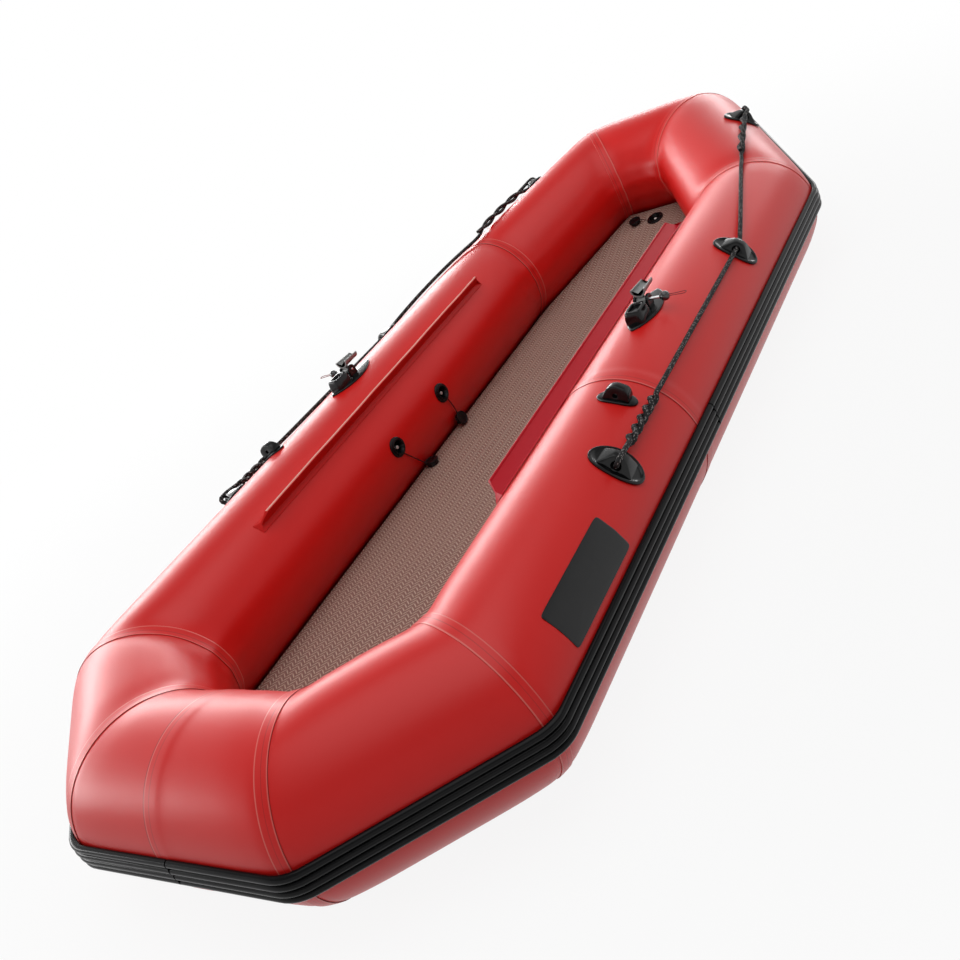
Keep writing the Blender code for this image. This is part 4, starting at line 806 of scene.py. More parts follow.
def wave(tree, value, pitch):
    """Half a sine wave's height, from 0 to 1, once each pitch."""
    turn = math_node(tree, "MULTIPLY", math_node(tree, "DIVIDE", value, pitch), 2 * math.pi)
    return math_node(tree, "MULTIPLY_ADD", math_node(tree, "SINE", turn), 0.5, 0.5)


def base_cloth():
    """The base cloth that shows through the coating: crossed threads, taller where they lie on top."""
    def fill(tree, given):
        parts = new_node(tree, "ShaderNodeSeparateXYZ", (("Vector", given["UV"]),))
        across = wave(tree, parts.outputs[0], given["Pitch"])
        down = wave(tree, parts.outputs[1], given["Pitch"])
        return {"Height": math_node(tree, "MULTIPLY", across, down)}
    return new_group("base_cloth", [("UV", "NodeSocketVector", None), ("Pitch", "NodeSocketFloat", 0.0016)],
                     [("Height", "NodeSocketFloat")], fill)


def rib_weave():
    """The deck's face: columns of slanted ribs whose slant turns about from column to column."""
    def fill(tree, given):
        parts = new_node(tree, "ShaderNodeSeparateXYZ", (("Vector", given["UV"]),))
        column = math_node(tree, "DIVIDE", parts.outputs[0], given["Column"])
        inside = math_node(tree, "FRACT", column)
        which = math_node(tree, "FLOOR", column)
        odd = math_node(tree, "MODULO", math_node(tree, "ABSOLUTE", which), 2.0)
        slant = math_node(tree, "MULTIPLY_ADD", odd, 2.0, -1.0)
        reach = math_node(tree, "MULTIPLY", math_node(tree, "MULTIPLY", inside, slant), given["Column"])
        place = math_node(tree, "ADD", parts.outputs[1], math_node(tree, "MULTIPLY", reach, 0.9))
        rib = wave(tree, place, given["Pitch"])
        rib = math_node(tree, "POWER", rib, 1.6)
        edge = math_node(tree, "ABSOLUTE", math_node(tree, "SUBTRACT", inside, 0.5))
        valley = new_node(tree, "ShaderNodeMapRange", (("Value", edge), ("From Min", 0.5),
                                                       ("From Max", 0.38)))
        height = math_node(tree, "MULTIPLY", rib, valley.outputs[0])
        return {"Height": height}
    return new_group("rib_weave", [("UV", "NodeSocketVector", None), ("Column", "NodeSocketFloat", 0.011),
                                   ("Pitch", "NodeSocketFloat", 0.0075)],
                     [("Height", "NodeSocketFloat")], fill)


def finish(name, color, dull, roughness, spread=0.12, amount=0.5, scale=3.0, cloth=0.0, pitch=0.0016,
           grain=0.0, grain_scale=900.0, metallic=0.0, coat=0.0, specular=0.5, lines=(), line_axis=1):
    """A material: marks and lines over a base colour, with the base cloth or a moulded grain as bump."""
    made = bpy.data.materials.get(name)
    if made is not None:
        return made
    made, tree, shader, places = blank_material(name)
    marks = use_group(tree, handling_marks(),
                      {"Vector": places["Object"], "Color": color, "Dull Color": dull,
                       "Scale": scale, "Amount": amount, "Roughness": roughness, "Spread": spread})
    tree.links.new(lined(tree, marks["Color"], places["UV"], line_axis, lines),
                   shader.inputs["Base Color"])
    tree.links.new(marks["Roughness"], shader.inputs["Roughness"])
    for socket, value in (("Metallic", metallic), ("Specular IOR Level", specular), ("Coat Weight", coat),
                          ("Coat Roughness", 0.22)):
        shader.inputs[socket].default_value = value
    if cloth > 0.0:
        height = use_group(tree, base_cloth(), {"UV": places["UV"], "Pitch": pitch})["Height"]
        add_bump(tree, shader, height, cloth, 0.0001)
    else:
        noise = new_node(tree, "ShaderNodeTexNoise", (("Vector", places["Object"]),
                                                      ("Scale", grain_scale), ("Detail", 2.0)))
        add_bump(tree, shader, noise.outputs[0], grain, 0.0002)
    return made


def lighter(color, share):
    """A colour moved towards pale grey by a share."""
    return tuple(channel * (1 - share) + 0.55 * share for channel in color[:3]) + (1.0,)


def tube_finish(lapped=False):
    """The tubes' coating; a lapped length has thin lines near its first row: painted shade along the lap's
    edge and farther in, and a painted highlight between them.
    """
    color = tuple(colors().tube)
    return finish("lapped_coating" if lapped else "tube_coating", color, lighter(color, 0.015), 0.35,
                  spread=0.06, amount=0.5, scale=2.2, cloth=0.25, specular=0.36,
                  lines=LAP_SHADE_AND_HIGHLIGHT_LINES if lapped else ())


def tape_finish():
    """The tube's coating with a pale line on one edge, a dark one on the other and in the fold: the pale
    lines are painted highlights, the dark ones painted shade.
    """
    color = tuple(colors().tape)
    return finish("tape_coating", color, lighter(color, 0.02), 0.35, spread=0.08, amount=0.6, scale=6.0,
                  cloth=0.3, specular=0.36, lines=TAPE_SHADE_AND_HIGHLIGHT_LINES)


def strip_finish(name, color):
    """Coated strip with a painted highlight: a pale line along the bead of the free edge."""
    return finish(name, color, lighter(color, 0.03), 0.40, spread=0.1, amount=0.6, scale=9.0,
                  cloth=0.4, specular=0.24, lines=BEAD_HIGHLIGHT_LINES, line_axis=0)


def fitting_finish():
    """Glossy moulded rubber of the holders, oarlock bases and eye blocks."""
    color = tuple(colors().rubber)
    return finish("fitting_rubber", color, lighter(color, 0.012), 0.17, spread=0.10, amount=0.6,
                  scale=22.0, grain=0.10, specular=0.26)


def strake_finish():
    """Smooth extruded rubber of the strakes."""
    color = tuple(colors().rubber)
    return finish("strake_rubber", color, lighter(color, 0.008), 0.16, spread=0.10, amount=0.6,
                  scale=9.0, grain=0.05, grain_scale=500.0, specular=0.12)


def valve_finish():
    """Fine-grained black plastic of the valves and caps."""
    color = tuple(colors().rubber)
    return finish("valve_plastic", color, lighter(color, 0.012), 0.26, spread=0.1, amount=0.6,
                  scale=40.0, grain=0.12, grain_scale=1500.0, specular=0.22)


def saddle_finish():
    """Grey plastic of the oar saddles."""
    color = tuple(colors().saddle)
    return finish("saddle_plastic", color, lighter(color, 0.15), 0.24, spread=0.14, amount=0.6,
                  scale=30.0, grain=0.08)


def steel_finish():
    """Bright steel of the pins and springs."""
    return finish("bright_steel", (0.66, 0.66, 0.67, 1.0), (0.45, 0.44, 0.43, 1.0), 0.20, spread=0.2,
                  amount=0.6, scale=60.0, grain=0.06, grain_scale=1200.0, metallic=1.0)


def underside_finish():
    """Black coated fabric of the bottom."""
    color = tuple(colors().rubber)
    return finish("underside_coating", color, lighter(color, 0.12), 0.55, spread=0.12, amount=0.8,
                  scale=4.0, cloth=0.8, pitch=0.002)


def deck_finish():
    """Slanted ribs, brown-grey in the valleys and shiny on the crests, with a painted highlight that turns
    the crests pale.
    """
    color = tuple(colors().deck)
    made, tree, shader, places = blank_material("rib_deck")
    marks = use_group(tree, handling_marks(),
                      {"Vector": places["Object"], "Color": color,
                       "Dull Color": (color[0] * 0.80, color[1] * 0.76, color[2] * 0.74, 1.0),
                       "Scale": 3.5, "Amount": 0.5, "Roughness": 0.50, "Spread": 0.12})
    shader.inputs["Specular IOR Level"].default_value = 0.25
    ribs = use_group(tree, rib_weave(), {"UV": places["Object"], "Column": 0.0125,
                                         "Pitch": 0.0098})["Height"]
    # Painted highlight: the rib crests are turned towards a pale colour, standing in for light catching them
    crest_highlight = new_node(tree, "ShaderNodeMapRange", (("Value", ribs), ("From Min", 0.40), ("From Max", 0.85),
                                                  ("To Max", 0.62))).outputs[0]
    pale = mix_color(tree, crest_highlight, marks["Color"], (0.74, 0.61, 0.49, 1.0))
    tree.links.new(pale, shader.inputs["Base Color"])
    rough = math_node(tree, "SUBTRACT", marks["Roughness"], math_node(tree, "MULTIPLY", ribs, 0.16))
    tree.links.new(rough, shader.inputs["Roughness"])
    add_bump(tree, shader, ribs, 0.8, 0.0022)
    return made


def rope_finish():
    """Black braid with a pale fleck on about one crossing in seven; UV is the way round and along."""
    made, tree, shader, places = blank_material("braided_rope")
    parts = new_node(tree, "ShaderNodeSeparateXYZ", (("Vector", places["UV"]),))
    around = math_node(tree, "DIVIDE", parts.outputs[0], math.pi * ROPE_DIAMETER / BRAID_STRANDS)
    down = math_node(tree, "DIVIDE", parts.outputs[1], 0.0034)
    one = math_node(tree, "ADD", around, down)
    two = math_node(tree, "SUBTRACT", around, down)
    cell = new_node(tree, "ShaderNodeCombineXYZ", (("X", math_node(tree, "FLOOR", one)),
                                                   ("Y", math_node(tree, "FLOOR", two))))
    noise = new_node(tree, "ShaderNodeTexWhiteNoise", (("Vector", cell.outputs[0]),),
                     noise_dimensions="2D")
    fleck = math_node(tree, "GREATER_THAN", noise.outputs[0], 0.86)
    color = mix_color(tree, fleck, tuple(colors().rope), (0.20, 0.185, 0.18, 1.0))
    shader.inputs["Specular IOR Level"].default_value = 0.25
    tree.links.new(color, shader.inputs["Base Color"])
    fibre = new_node(tree, "ShaderNodeTexNoise", (("Vector", places["Object"]),
                                                  ("Scale", 1500.0), ("Detail", 2.0)))
    rough = math_node(tree, "MULTIPLY_ADD", fibre.outputs[0], 0.3, 0.5)
    tree.links.new(rough, shader.inputs["Roughness"])
    add_bump(tree, shader, fibre.outputs[0], 0.5, 0.0002)
    return made


def patch_finish():
    """Plain black rubberised cloth."""
    color = tuple(colors().rubber)
    return finish("patch_coating", color, lighter(color, 0.015), 0.30, spread=0.12, amount=0.7,
                  scale=14.0, cloth=0.4, specular=0.3)


# Tubes

def seam_offset(distance, angle):
    """How far the skin is drawn in near a corner seam, with folds on the tube's inner side."""
    size = shape()
    pinch = -size.seam_pinch * np.exp(-(distance / size.pinch_reach) ** 2)
    inner = np.clip(-np.cos(angle), 0.0, 1.0) ** 2
    folds = -size.wrinkle_height * inner * np.exp(-distance / (size.pinch_reach * 1.6)) \
        * (0.5 + 0.5 * np.cos(15 * angle + 1.5 * np.sin(4 * angle)))
    return pinch + folds


def pipe(run, start=None, end=None, lapped=False):
    """A tube length as a closed skin: rows down the run outside, then back inside.

    Each row's points lie at first + (last - first) * share along the tube's lines, so that a row
    goes from a mitre plane over to a square cut. A lapped start lies over the length before.
    """
    angle = np.linspace(0.0, 2 * np.pi, 112, endpoint=False) - np.pi / 2
    length = line_length(run, angle)
    first = np.zeros_like(angle) if start is None else line_place(run, start, angle)
    last = length if end is None else line_place(run, end, angle)
    rows = max(34, int(RUN_LENGTHS[run] / 0.011))
    share = spaced(rows)[:, None]
    reach = first + (last - first) * share
    reach = np.clip(reach, first + TOUCH_GAP / 2, last - TOUCH_GAP / 2)
    offset = np.zeros_like(reach)
    if start is None:
        offset = offset + seam_offset(reach, angle)
    if end is None:
        offset = offset + seam_offset(length - reach, angle)
    if lapped:
        marks = np.array([-LAP_WIDTH, -LAP_WIDTH * 0.75, -LAP_WIDTH * 0.5, -LAP_WIDTH * 0.25, 0.0])
        marks = np.concatenate([marks, LAP_FADE * np.array([0.2, 0.4, 0.6, 0.8])])
        lift = LAP_LIFT * np.array([1.0, 1.0, 1.0, 1.0, 1.0, 0.9, 0.65, 0.35, 0.1])
        keep = reach[:, 0] > first[0] + LAP_FADE
        reach = np.concatenate([first + marks[:, None], reach[keep]])
        offset = np.concatenate([np.repeat(lift[:, None], len(angle), axis=1), offset[keep]])
    points = tube_point(run, reach, angle, offset)
    under = tube_point(run, reach, angle, offset - TUBE_SKIN * (0.6 if lapped else 1.0))
    uv = metre_uv(points)
    points = np.concatenate([points, under[::-1]])
    uv = np.concatenate([uv[:-1], uv[:-1][::-1], uv[:1]])
    return grid(points, uv, wrap_rows=True, wrap_columns=True)


def build_tubes():
    """Make the ten lengths, and cut the valves' holes in the left one."""
    half = RUN_LENGTHS[6] / 2
    lengths = (("right_side_tube_rear", 0, None, PANEL_SEAM, False),
               ("right_side_tube_front", 0, PANEL_SEAM, None, True),
               ("bow_tube_right", 1, None, None, False), ("bow_tube_middle", 2, None, None, False),
               ("bow_tube_left", 3, None, None, False), ("left_side_tube", 4, None, None, False),
               ("stern_tube_left", 5, None, None, False),
               ("stern_tube_middle_left", 6, None, half, False),
               ("stern_tube_middle_right", 6, half, None, True),
               ("stern_tube_right", 7, None, None, False))
    for node, run, start, end, lapped in lengths:
        piece = make_piece(node + "_skin", [pipe(run, start, end, lapped)],
                           tube_finish(lapped), nodes=(node,), sharp=60.0)
        if node == "left_side_tube":
            for along in VALVE_ALONGS:
                cut_round(piece, surface_frame(0, along, VALVE_ANGLE, True), VALVE_HOLE)


def corner_band(corner):
    """A tape folded over a corner: its section, carried round the tube.

    A row lies a distance before or after the mitre; the section rises over rounded edges.
    """
    angle = np.linspace(0.0, 2 * np.pi, 144, endpoint=False)
    wide = TAPE_HALF_WIDTH
    section = ((-wide, 0.0003), (-wide, 0.0009), (-wide + 0.0004, 0.0013), (-wide * 0.75, 0.00135),
               (-wide * 0.4, 0.0014), (-wide * 0.1, 0.0013), (wide * 0.1, 0.0013),
               (wide * 0.4, 0.0014), (wide * 0.75, 0.00135), (wide - 0.0004, 0.0013), (wide, 0.0009),
               (wide, 0.0003), (wide * 0.5, 0.0002), (-wide * 0.5, 0.0002))
    rows = []
    for distance, height in section:
        offset = height + seam_offset(abs(distance), angle)
        if distance < 0:
            run = corner - 1
            rows.append(tube_point(run % 8, line_length(run, angle) + distance, angle, offset))
        else:
            rows.append(tube_point(corner, distance, angle, offset))
    points = np.array(rows)
    return grid(points, metre_uv(points), wrap_rows=True, wrap_columns=True)


def build_tapes():
    """Make a tape for each corner, in the corners' order."""
    names = ("seam_tape_stern_right", "seam_tape_bow_right_rear", "seam_tape_bow_right_front",
             "seam_tape_bow_left_front", "seam_tape_bow_left_rear", "seam_tape_stern_left",
             "seam_tape_stern_left_inner", "seam_tape_stern_right_inner")
    for corner, node in enumerate(names):
        make_piece(node + "_band", [corner_band(corner)], tape_finish(), nodes=(node,))


# Floor

def floor_outline(inset):
    """Half-width of the floor at each of its four cross lines, stern to bow, with their Y places."""
    points = CORNERS - MITRES * inset
    order = [7, 0, 1, 2]
    return points[order, 1], points[order, 0]


def floor_section(y, inset, height):
    """Half-width and height at y: corners averaged over 70 mm, and a ramp that starts softly."""
    places, widths = floor_outline(inset)
    rise = BOW_RISE / (places[3] - places[2])
    over = np.logaddexp(0.0, (y - places[2]) / FLOOR_FOLD) * FLOOR_FOLD
    over = np.minimum(over, places[3] - places[2])
    way = np.concatenate([2 * places[:1] - places[1:2], places, 2 * places[-1:] - places[-2:-1]])
    wide = np.concatenate([2 * widths[:1] - widths[1:2], widths, 2 * widths[-1:] - widths[-2:-1]])
    shifts = np.linspace(-FLOOR_EASING, FLOOR_EASING, 9)
    width = np.interp(y[:, None] + shifts, way, wide).mean(axis=1)
    return width, height + over * rise


def slab(inset, low, high, roll, rows, columns):
    """A floor layer: for each y a closed loop across, over the top and back along the bottom.

    Near every edge the top falls by roll (1 - sqrt(1 - t^2)), a quarter round.
    """
    places = floor_outline(inset)[0]
    y = places[0] + (places[3] - places[0]) * spaced(rows, 0.8)
    width, top = floor_section(y, inset, high)
    bottom = floor_section(y, inset, low)[1]
    x = width[:, None] * np.sin(np.linspace(-np.pi / 2, np.pi / 2, columns))
    ends = np.minimum(y - y[0], y[-1] - y)[:, None]
    gap = np.minimum(width[:, None] - np.abs(x), ends)
    fall = np.clip(1 - gap / roll, 0.0, 1.0)
    drop = roll * (1 - np.sqrt(1 - fall ** 2))
    upper = np.stack([x, np.repeat(y[:, None], columns, axis=1), top[:, None] - drop], axis=-1)
    lower = np.stack([x, upper[..., 1], np.repeat(bottom[:, None], columns, axis=1)], axis=-1)
    points = np.concatenate([upper, lower[:, ::-1]], axis=1)
    return grid(points, closed_uv(points[..., :2]), wrap_columns=True, caps=True)


def deck_frame():
    """Place of the deck's valve, on the ramp, with X up the slope."""
    places = floor_outline(FLOOR_INSET)[0]
    slope = unit(np.array([0.0, places[3] - places[2], BOW_RISE]))
    high = np.array([0.0, places[3], DECK_TOP + BOW_RISE])
    across = np.array([1.0, 0.0, 0.0])
    outward = np.cross(across, slope)
    made = np.eye(4)
    made[:3, 0], made[:3, 1], made[:3, 2] = slope, np.cross(outward, slope), outward
    made[:3, 3] = high - slope * DECK_VALVE_INSET + across * DECK_VALVE_SIDE
    return made


def build_floor():
    """Make the deck with the hole for its valve, and the bottom panel."""
    deck = make_piece("air_deck_top", [slab(FLOOR_INSET, DECK_LOW, DECK_TOP, DECK_ROLL, 150, 60)],
                      deck_finish(), nodes=("air_deck",), sharp=50.0)
    cut_round(deck, deck_frame(), VALVE_HOLE)
    make_piece("bottom_fabric_panel",
               [slab(BOTTOM_INSET, 0.0, BOTTOM_THICKNESS, BOTTOM_ROLL, 80, 24)],
               underside_finish(), nodes=("bottom_fabric",))


# Strake and seat strips

def strake_section():
    """(angle, offset) round the strake: flat back, then four round ribs as |sin| arches."""
    share = np.linspace(0.0, 1.0, 10 * STRAKE_RIBS + 1)
    angle = STRAKE_HIGH + (STRAKE_LOW - STRAKE_HIGH) * share
    rib = np.abs(np.sin(share * STRAKE_RIBS * np.pi)) ** 0.55
    offset = TAPE_TOP + TOUCH_GAP + STRAKE_BACK + STRAKE_RIB_HEIGHT * rib
    back = np.linspace(STRAKE_LOW, STRAKE_HIGH, 7)
    return np.concatenate([angle, back]), np.concatenate([offset, np.full(7, TAPE_TOP + TOUCH_GAP)])


def strake(stretches):
    """The strake's section carried along stretches of the ring: (run, first share, last share)."""
    angle, offset = strake_section()
    rows = []
    for run, start, end in stretches:
        length = line_length(run, angle, offset)
        first = np.zeros_like(length) if start is None else line_place(run, start, angle, offset)
        last = length if end is None else line_place(run, end, angle, offset)
        count = max(14, int(RUN_LENGTHS[run] / 0.02))
        share = spaced(count, 0.75)[:, None]
        reach = first + (last - first) * share
        rows.append(tube_point(run, reach, angle, offset)[1 if rows else 0:])
    points = np.concatenate(rows)
    return grid(points, metre_uv(points), wrap_columns=True, caps=True)


def build_strakes():
    """Make the two strakes, each up to its meeting places with the other."""
    half = RUN_LENGTHS[6] / 2
    right = [(6, half + STRAKE_END_GAP, None), (7, None, None), (0, None, STRAKE_LAP - STRAKE_END_GAP)]
    left = [(0, STRAKE_LAP + STRAKE_END_GAP, None)] + [(run, None, None) for run in range(1, 6)]
    left.append((6, None, half - STRAKE_END_GAP))
    for node, stretches in (("rub_strake_right", right), ("rub_strake_bow_and_left", left)):
        make_piece(node + "_rubber", [strake(stretches)], strake_finish(), nodes=(node,))


def strip(base, phase):
    """A flange with a beaded fin: its section, swayed by a slow wave that grows up the fin.

    sway = height share^2 * (sin(2 pi x / 0.31) + 0.5 sin(2 pi x / 0.13)); the ends slant.
    """
    top = base + STRIP_FLANGE
    tip = base + STRIP_HEIGHT
    half = STRIP_HALF_WIDTH
    section = np.array([(half, base), (half, base + 0.0009), (half - 0.0008, top), (0.0035, top),
                        (0.0021, top + 0.0006), (0.0016, top + 0.0022), (0.0015, tip - 0.0060),
                        (0.0016, tip - 0.0048), (0.0024, tip - 0.0040), (0.0027, tip - 0.0020),
                        (0.0021, tip - 0.0005), (0.0, tip)])
    mirrored = section[::-1][1:] * np.array([-1.0, 1.0])
    section = np.concatenate([section, mirrored, [(-half / 2, base), (0.0, base), (half / 2, base)]])
    share = spaced(150, 0.5) * 2 - 1
    height = section[:, 1]
    slant = STRIP_SLANT * (height - base) / STRIP_HEIGHT
    x = share[:, None] * (STRIP_LENGTH / 2 - slant)
    grown = ((height - base) / STRIP_HEIGHT) ** 2
    sway = shape().strip_sway * grown * (np.sin(x * 2 * np.pi / 0.31 + phase)
                                         + 0.5 * np.sin(x * 2 * np.pi / 0.13 + 2 * phase))
    points = np.stack([x, section[:, 0] + sway, np.repeat(height[None], len(share), axis=0)], axis=-1)
    return bent(points)


def build_strips():
    """Make the strip of each side tube."""
    # Both strips are one material: the left one takes the tubes' lighter red to make up for the shade on its
    # seen face, the right one a darker crimson, so the difference between them is painted light
    for node, base, left, phase, color in (("seat_strip_right", 0.0014, False, 0.4, colors().strip),
                                           ("seat_strip_left", 0.0006, True, 2.1, colors().tube)):
        points = placed(strip(base, phase), surface_frame(0, STRIP_MIDDLE, STRIP_ANGLE, left))
        make_piece(node + "_band", [grid(points, metre_uv(points), wrap_columns=True, caps=True)],
                   strip_finish(node + "_coating", tuple(color)), nodes=(node,),
                   sharp=50.0)


# Rope holders and grab lines

def holder_frames(alongs, left):
    """Places of one side's rear, middle and bow holders."""
    frames = [surface_frame(0, along, HOLDER_ANGLE, left) for along in alongs]
    frames.append(surface_frame(1, BOW_HOLDER_ALONG, BOW_HOLDER_ANGLE, left, BOW_HOLDER_LIFT))
    return frames


def holder_parts():
    """The holder's dished oval with its raised rim, and the bridge over the rope's eye."""
    levels = ((0.04, 0.0006), (0.35, 0.0006), (0.70, 0.0006), (0.97, 0.0006), (1.0, 0.0012),
              (1.0, 0.0030), (0.985, 0.0046), (0.955, 0.0056), (0.915, 0.0057), (0.875, 0.0050),
              (0.84, 0.0038), (0.79, 0.0029), (0.72, 0.0026), (0.50, 0.0028), (0.25, 0.0032),
              (0.04, 0.0034))
    base = pad(oval(0.066, 0.104), levels)
    outline = rounded_loop([(-0.034, 0.0022), (0.034, 0.0022), (0.031, 0.0050), (0.0165, 0.0165),
                            (0.0100, 0.0222), (0.0, 0.0232), (-0.0100, 0.0222), (-0.0165, 0.0165),
                            (-0.031, 0.0050)], 2)
    plate = bored_plate(outline, (0.0, EYE_HEIGHT), (0.0085, 0.0065), BRIDGE_WIDTH / 2, 0.0022)
    bridge = np.stack([plate[..., 2], plate[..., 0], plate[..., 1]], axis=-1)
    share = np.clip((bridge[..., 2] - 0.002) / (BRIDGE_HEIGHT - 0.002), 0.0, 1.0)
    bridge[..., 0] *= 1.45 - 0.87 * share
    return base, bent(bridge)


def build_holders():
    """Make the three holders of each side."""
    base, bridge = holder_parts()
    for side, alongs in (("right", RIGHT_HOLDER_ALONGS), ("left", LEFT_HOLDER_ALONGS)):
        for place, made in zip(("rear", "middle", "bow"), holder_frames(alongs, side == "left")):
            node = "rope_holder_%s_%s" % (side, place)
            make_piece(node + "_rubber", [capped(base, made), ringed(bridge, made)], fitting_finish(),
                       nodes=(node,))


def tube_path(run, start, end, count):
    """Places along a tube between two (along, angle, offset) places, with the tube's normals."""
    steps = np.linspace(start, end, count + 1)
    places = np.array([surface_point(run, along, angle, offset) for along, angle, offset in steps])
    outer = np.array([surface_point(run, along, angle, offset + TUBE_RADIUS)
                      for along, angle, offset in steps])
    return places, unit(outer - places)


def twisted_strands(path, turns):
    """Two strands round a path: each lies an arm's length away, and the arm turns evenly."""
    centre, outward = path
    axis = unit(np.gradient(centre, axis=0))
    upright = unit(outward - axis * (outward * axis).sum(axis=1, keepdims=True))
    angle = np.pi / 2 + 2 * np.pi * turns * np.linspace(0.0, 1.0, len(centre))[:, None]
    arm = np.cross(axis, upright) * np.cos(angle) + upright * np.sin(angle)
    arm = arm * (ROPE_DIAMETER + STRAND_GAP) / 2
    return centre + arm, centre - arm


def eye_turn(made, sign):
    """The rope's way through an eye and back over the bridge."""
    high = BRIDGE_HEIGHT + ROPE_DIAMETER / 2 + STRAND_GAP
    middle = (EYE_HEIGHT + high) / 2
    arm = (high - EYE_HEIGHT) / 2
    reach = BRIDGE_WIDTH / 2
    route = [(sign * reach, 0.0, EYE_HEIGHT), (0.0, 0.0, EYE_HEIGHT),
             (-sign * reach * 0.7, 0.0, EYE_HEIGHT)]
    for step in range(1, 6):
        angle = -math.pi / 2 + math.pi * step / 6
        route.append((-sign * (EYE_TURN_START + arm * math.cos(angle)), 0.0,
                      middle + arm * math.sin(angle)))
    route += [(-sign * reach * 0.7, 0.0, high), (0.0, 0.0, high),
              (sign * reach * 0.8, 0.0, high - STRAND_GAP)]
    return placed(np.array(route), made)


def grab_line_route(alongs):
    """A right-hand rope: twisted tail, rear eye, middle eye, corner, bow eye, twisted tail."""
    rear, middle, bow = holder_frames(alongs, False)
    lying = ROPE_DIAMETER / 2 + TAPE_TOP + TOUCH_GAP + STRAND_GAP
    rear_near = alongs[0] + TWIST_START
    rear_far = rear_near + REAR_TWIST_LENGTH
    bow_near = BOW_HOLDER_ALONG - TWIST_START
    bow_far = bow_near - BOW_TWIST_LENGTH
    drift = (BOW_HOLDER_ANGLE - CORNER_LINE_ANGLE) / BOW_HOLDER_ALONG
    tail, standing = twisted_strands(tube_path(0, (rear_near, HOLDER_ANGLE, TWIST_HEIGHT),
                                               (rear_far, HOLDER_ANGLE, TWIST_LOW), 20),
                                     REAR_TWIST_TURNS)
    bow_tail, bow_standing = twisted_strands(
        tube_path(1, (bow_near, CORNER_LINE_ANGLE + drift * bow_near, TWIST_HEIGHT),
                  (bow_far, CORNER_LINE_ANGLE + drift * bow_far, TWIST_LOW), 16), BOW_TWIST_TURNS)
    half = BRIDGE_WIDTH / 2
    rise = (CORNER_LINE_ANGLE - HOLDER_ANGLE) / (RUN_LENGTHS[0] - alongs[1] - half)
    first = tube_path(0, (rear_far + TWIST_START, HOLDER_ANGLE, TWIST_HEIGHT),
                      (alongs[1] - TWIST_START, HOLDER_ANGLE, EYE_HEIGHT), 5)[0]
    eye = placed(np.array([(-half, 0.0, EYE_HEIGHT), (0.0, 0.0, EYE_HEIGHT), (half, 0.0, EYE_HEIGHT)]),
                 middle)
    second = tube_path(0, (alongs[1] + BRIDGE_WIDTH, HOLDER_ANGLE + rise * half, EYE_HEIGHT),
                       (RUN_LENGTHS[0] - TWIST_START, CORNER_LINE_ANGLE - rise * TWIST_START, lying), 8)[0]
    corner = mitre_point(1, CORNER_LINE_ANGLE, lying)[None]
    return np.concatenate([tail[::-1], eye_turn(rear, 1)[::-1], standing, first, eye, second, corner,
                           bow_standing[::-1], eye_turn(bow, -1), bow_tail])


def braid(way, angle):
    """Rope radius: the bumps of two crossed spiral families, cos(a + w) cos(a - w)."""
    turn = 4 * angle
    slide = way * 2 * np.pi / BRAID_PITCH
    bump = np.cos(turn + slide) * np.cos(turn - slide)
    return ROPE_DIAMETER / 2 + shape().braid_depth * (bump - 0.6)


def build_ropes():
    """Make both grab lines; the left one is the right one's way, mirrored, with its own holders."""
    braided = rope_finish()
    for node, flip, alongs in (("grab_line_right", 1.0, RIGHT_HOLDER_ALONGS),
                               ("grab_line_left", -1.0, LEFT_HOLDER_ALONGS)):
        path = smooth_path(grab_line_route(alongs), 0.0011) * np.array([flip, 1.0, 1.0])
        make_piece(node + "_braid", [swept_tube(path, braid, 24)], braided, nodes=(node,),
                   sharp=80.0)


# Oarlocks

def oarlock_base():
    """Boat-shaped pad, a tapered block with a window in its top, and two cheeks for the pin."""
    levels = ((0.04, 0.0006), (0.35, 0.0006), (0.70, 0.0006), (0.97, 0.0006), (1.0, 0.0010),
              (1.0, 0.0026), (0.985, 0.0038), (0.95, 0.0045), (0.90, 0.0046), (0.6, 0.0046),
              (0.3, 0.0046), (0.04, 0.0046))
    base = pad(oval(0.170, 0.066, 96, 1.5), levels)
    sizes = ((0.052, 0.040, 0.0026), (0.052, 0.0395, 0.008), (0.0515, 0.038, 0.014),
             (0.049, 0.033, 0.022), (0.047, 0.030, 0.0265), (0.0455, 0.0285, 0.0288),
             (0.0435, 0.0265, 0.0298), (0.040, 0.0235, 0.0300), (0.036, 0.0195, 0.0299),
             (0.0345, 0.0180, 0.0290), (0.0335, 0.0172, 0.0255), (0.0325, 0.0165, 0.0236),
             (0.026, 0.012, 0.0232), (0.004, 0.002, 0.0232))
    block = stacked(rounded_square(64, 0.42), np.array(sizes) * (0.5, 0.5, 1.0))
    block = bent(block + (BLOCK_PLACE, 0.0, 0.0))
    outline = rounded_loop([(PIN_PLACE - 0.013, 0.0020), (PIN_PLACE + 0.013, 0.0020),
                            (PIN_PLACE + 0.0135, 0.0150), (PIN_PLACE + 0.0125, 0.0260),
                            (PIN_PLACE + 0.0060, 0.0325), (PIN_PLACE - 0.0060, 0.0325),
                            (PIN_PLACE - 0.0125, 0.0260), (PIN_PLACE - 0.0135, 0.0150)], 2)
    plate = bored_plate(outline, (PIN_PLACE, PIN_HEIGHT), (PIN_HOLE, PIN_HOLE), 0.0025, 0.0009, 64)
    cheeks = [np.stack([plate[..., 0], plate[..., 2] + side * CHEEK_PLACE, plate[..., 1]], axis=-1)
              for side in (-1, 1)]
    return base, block, cheeks


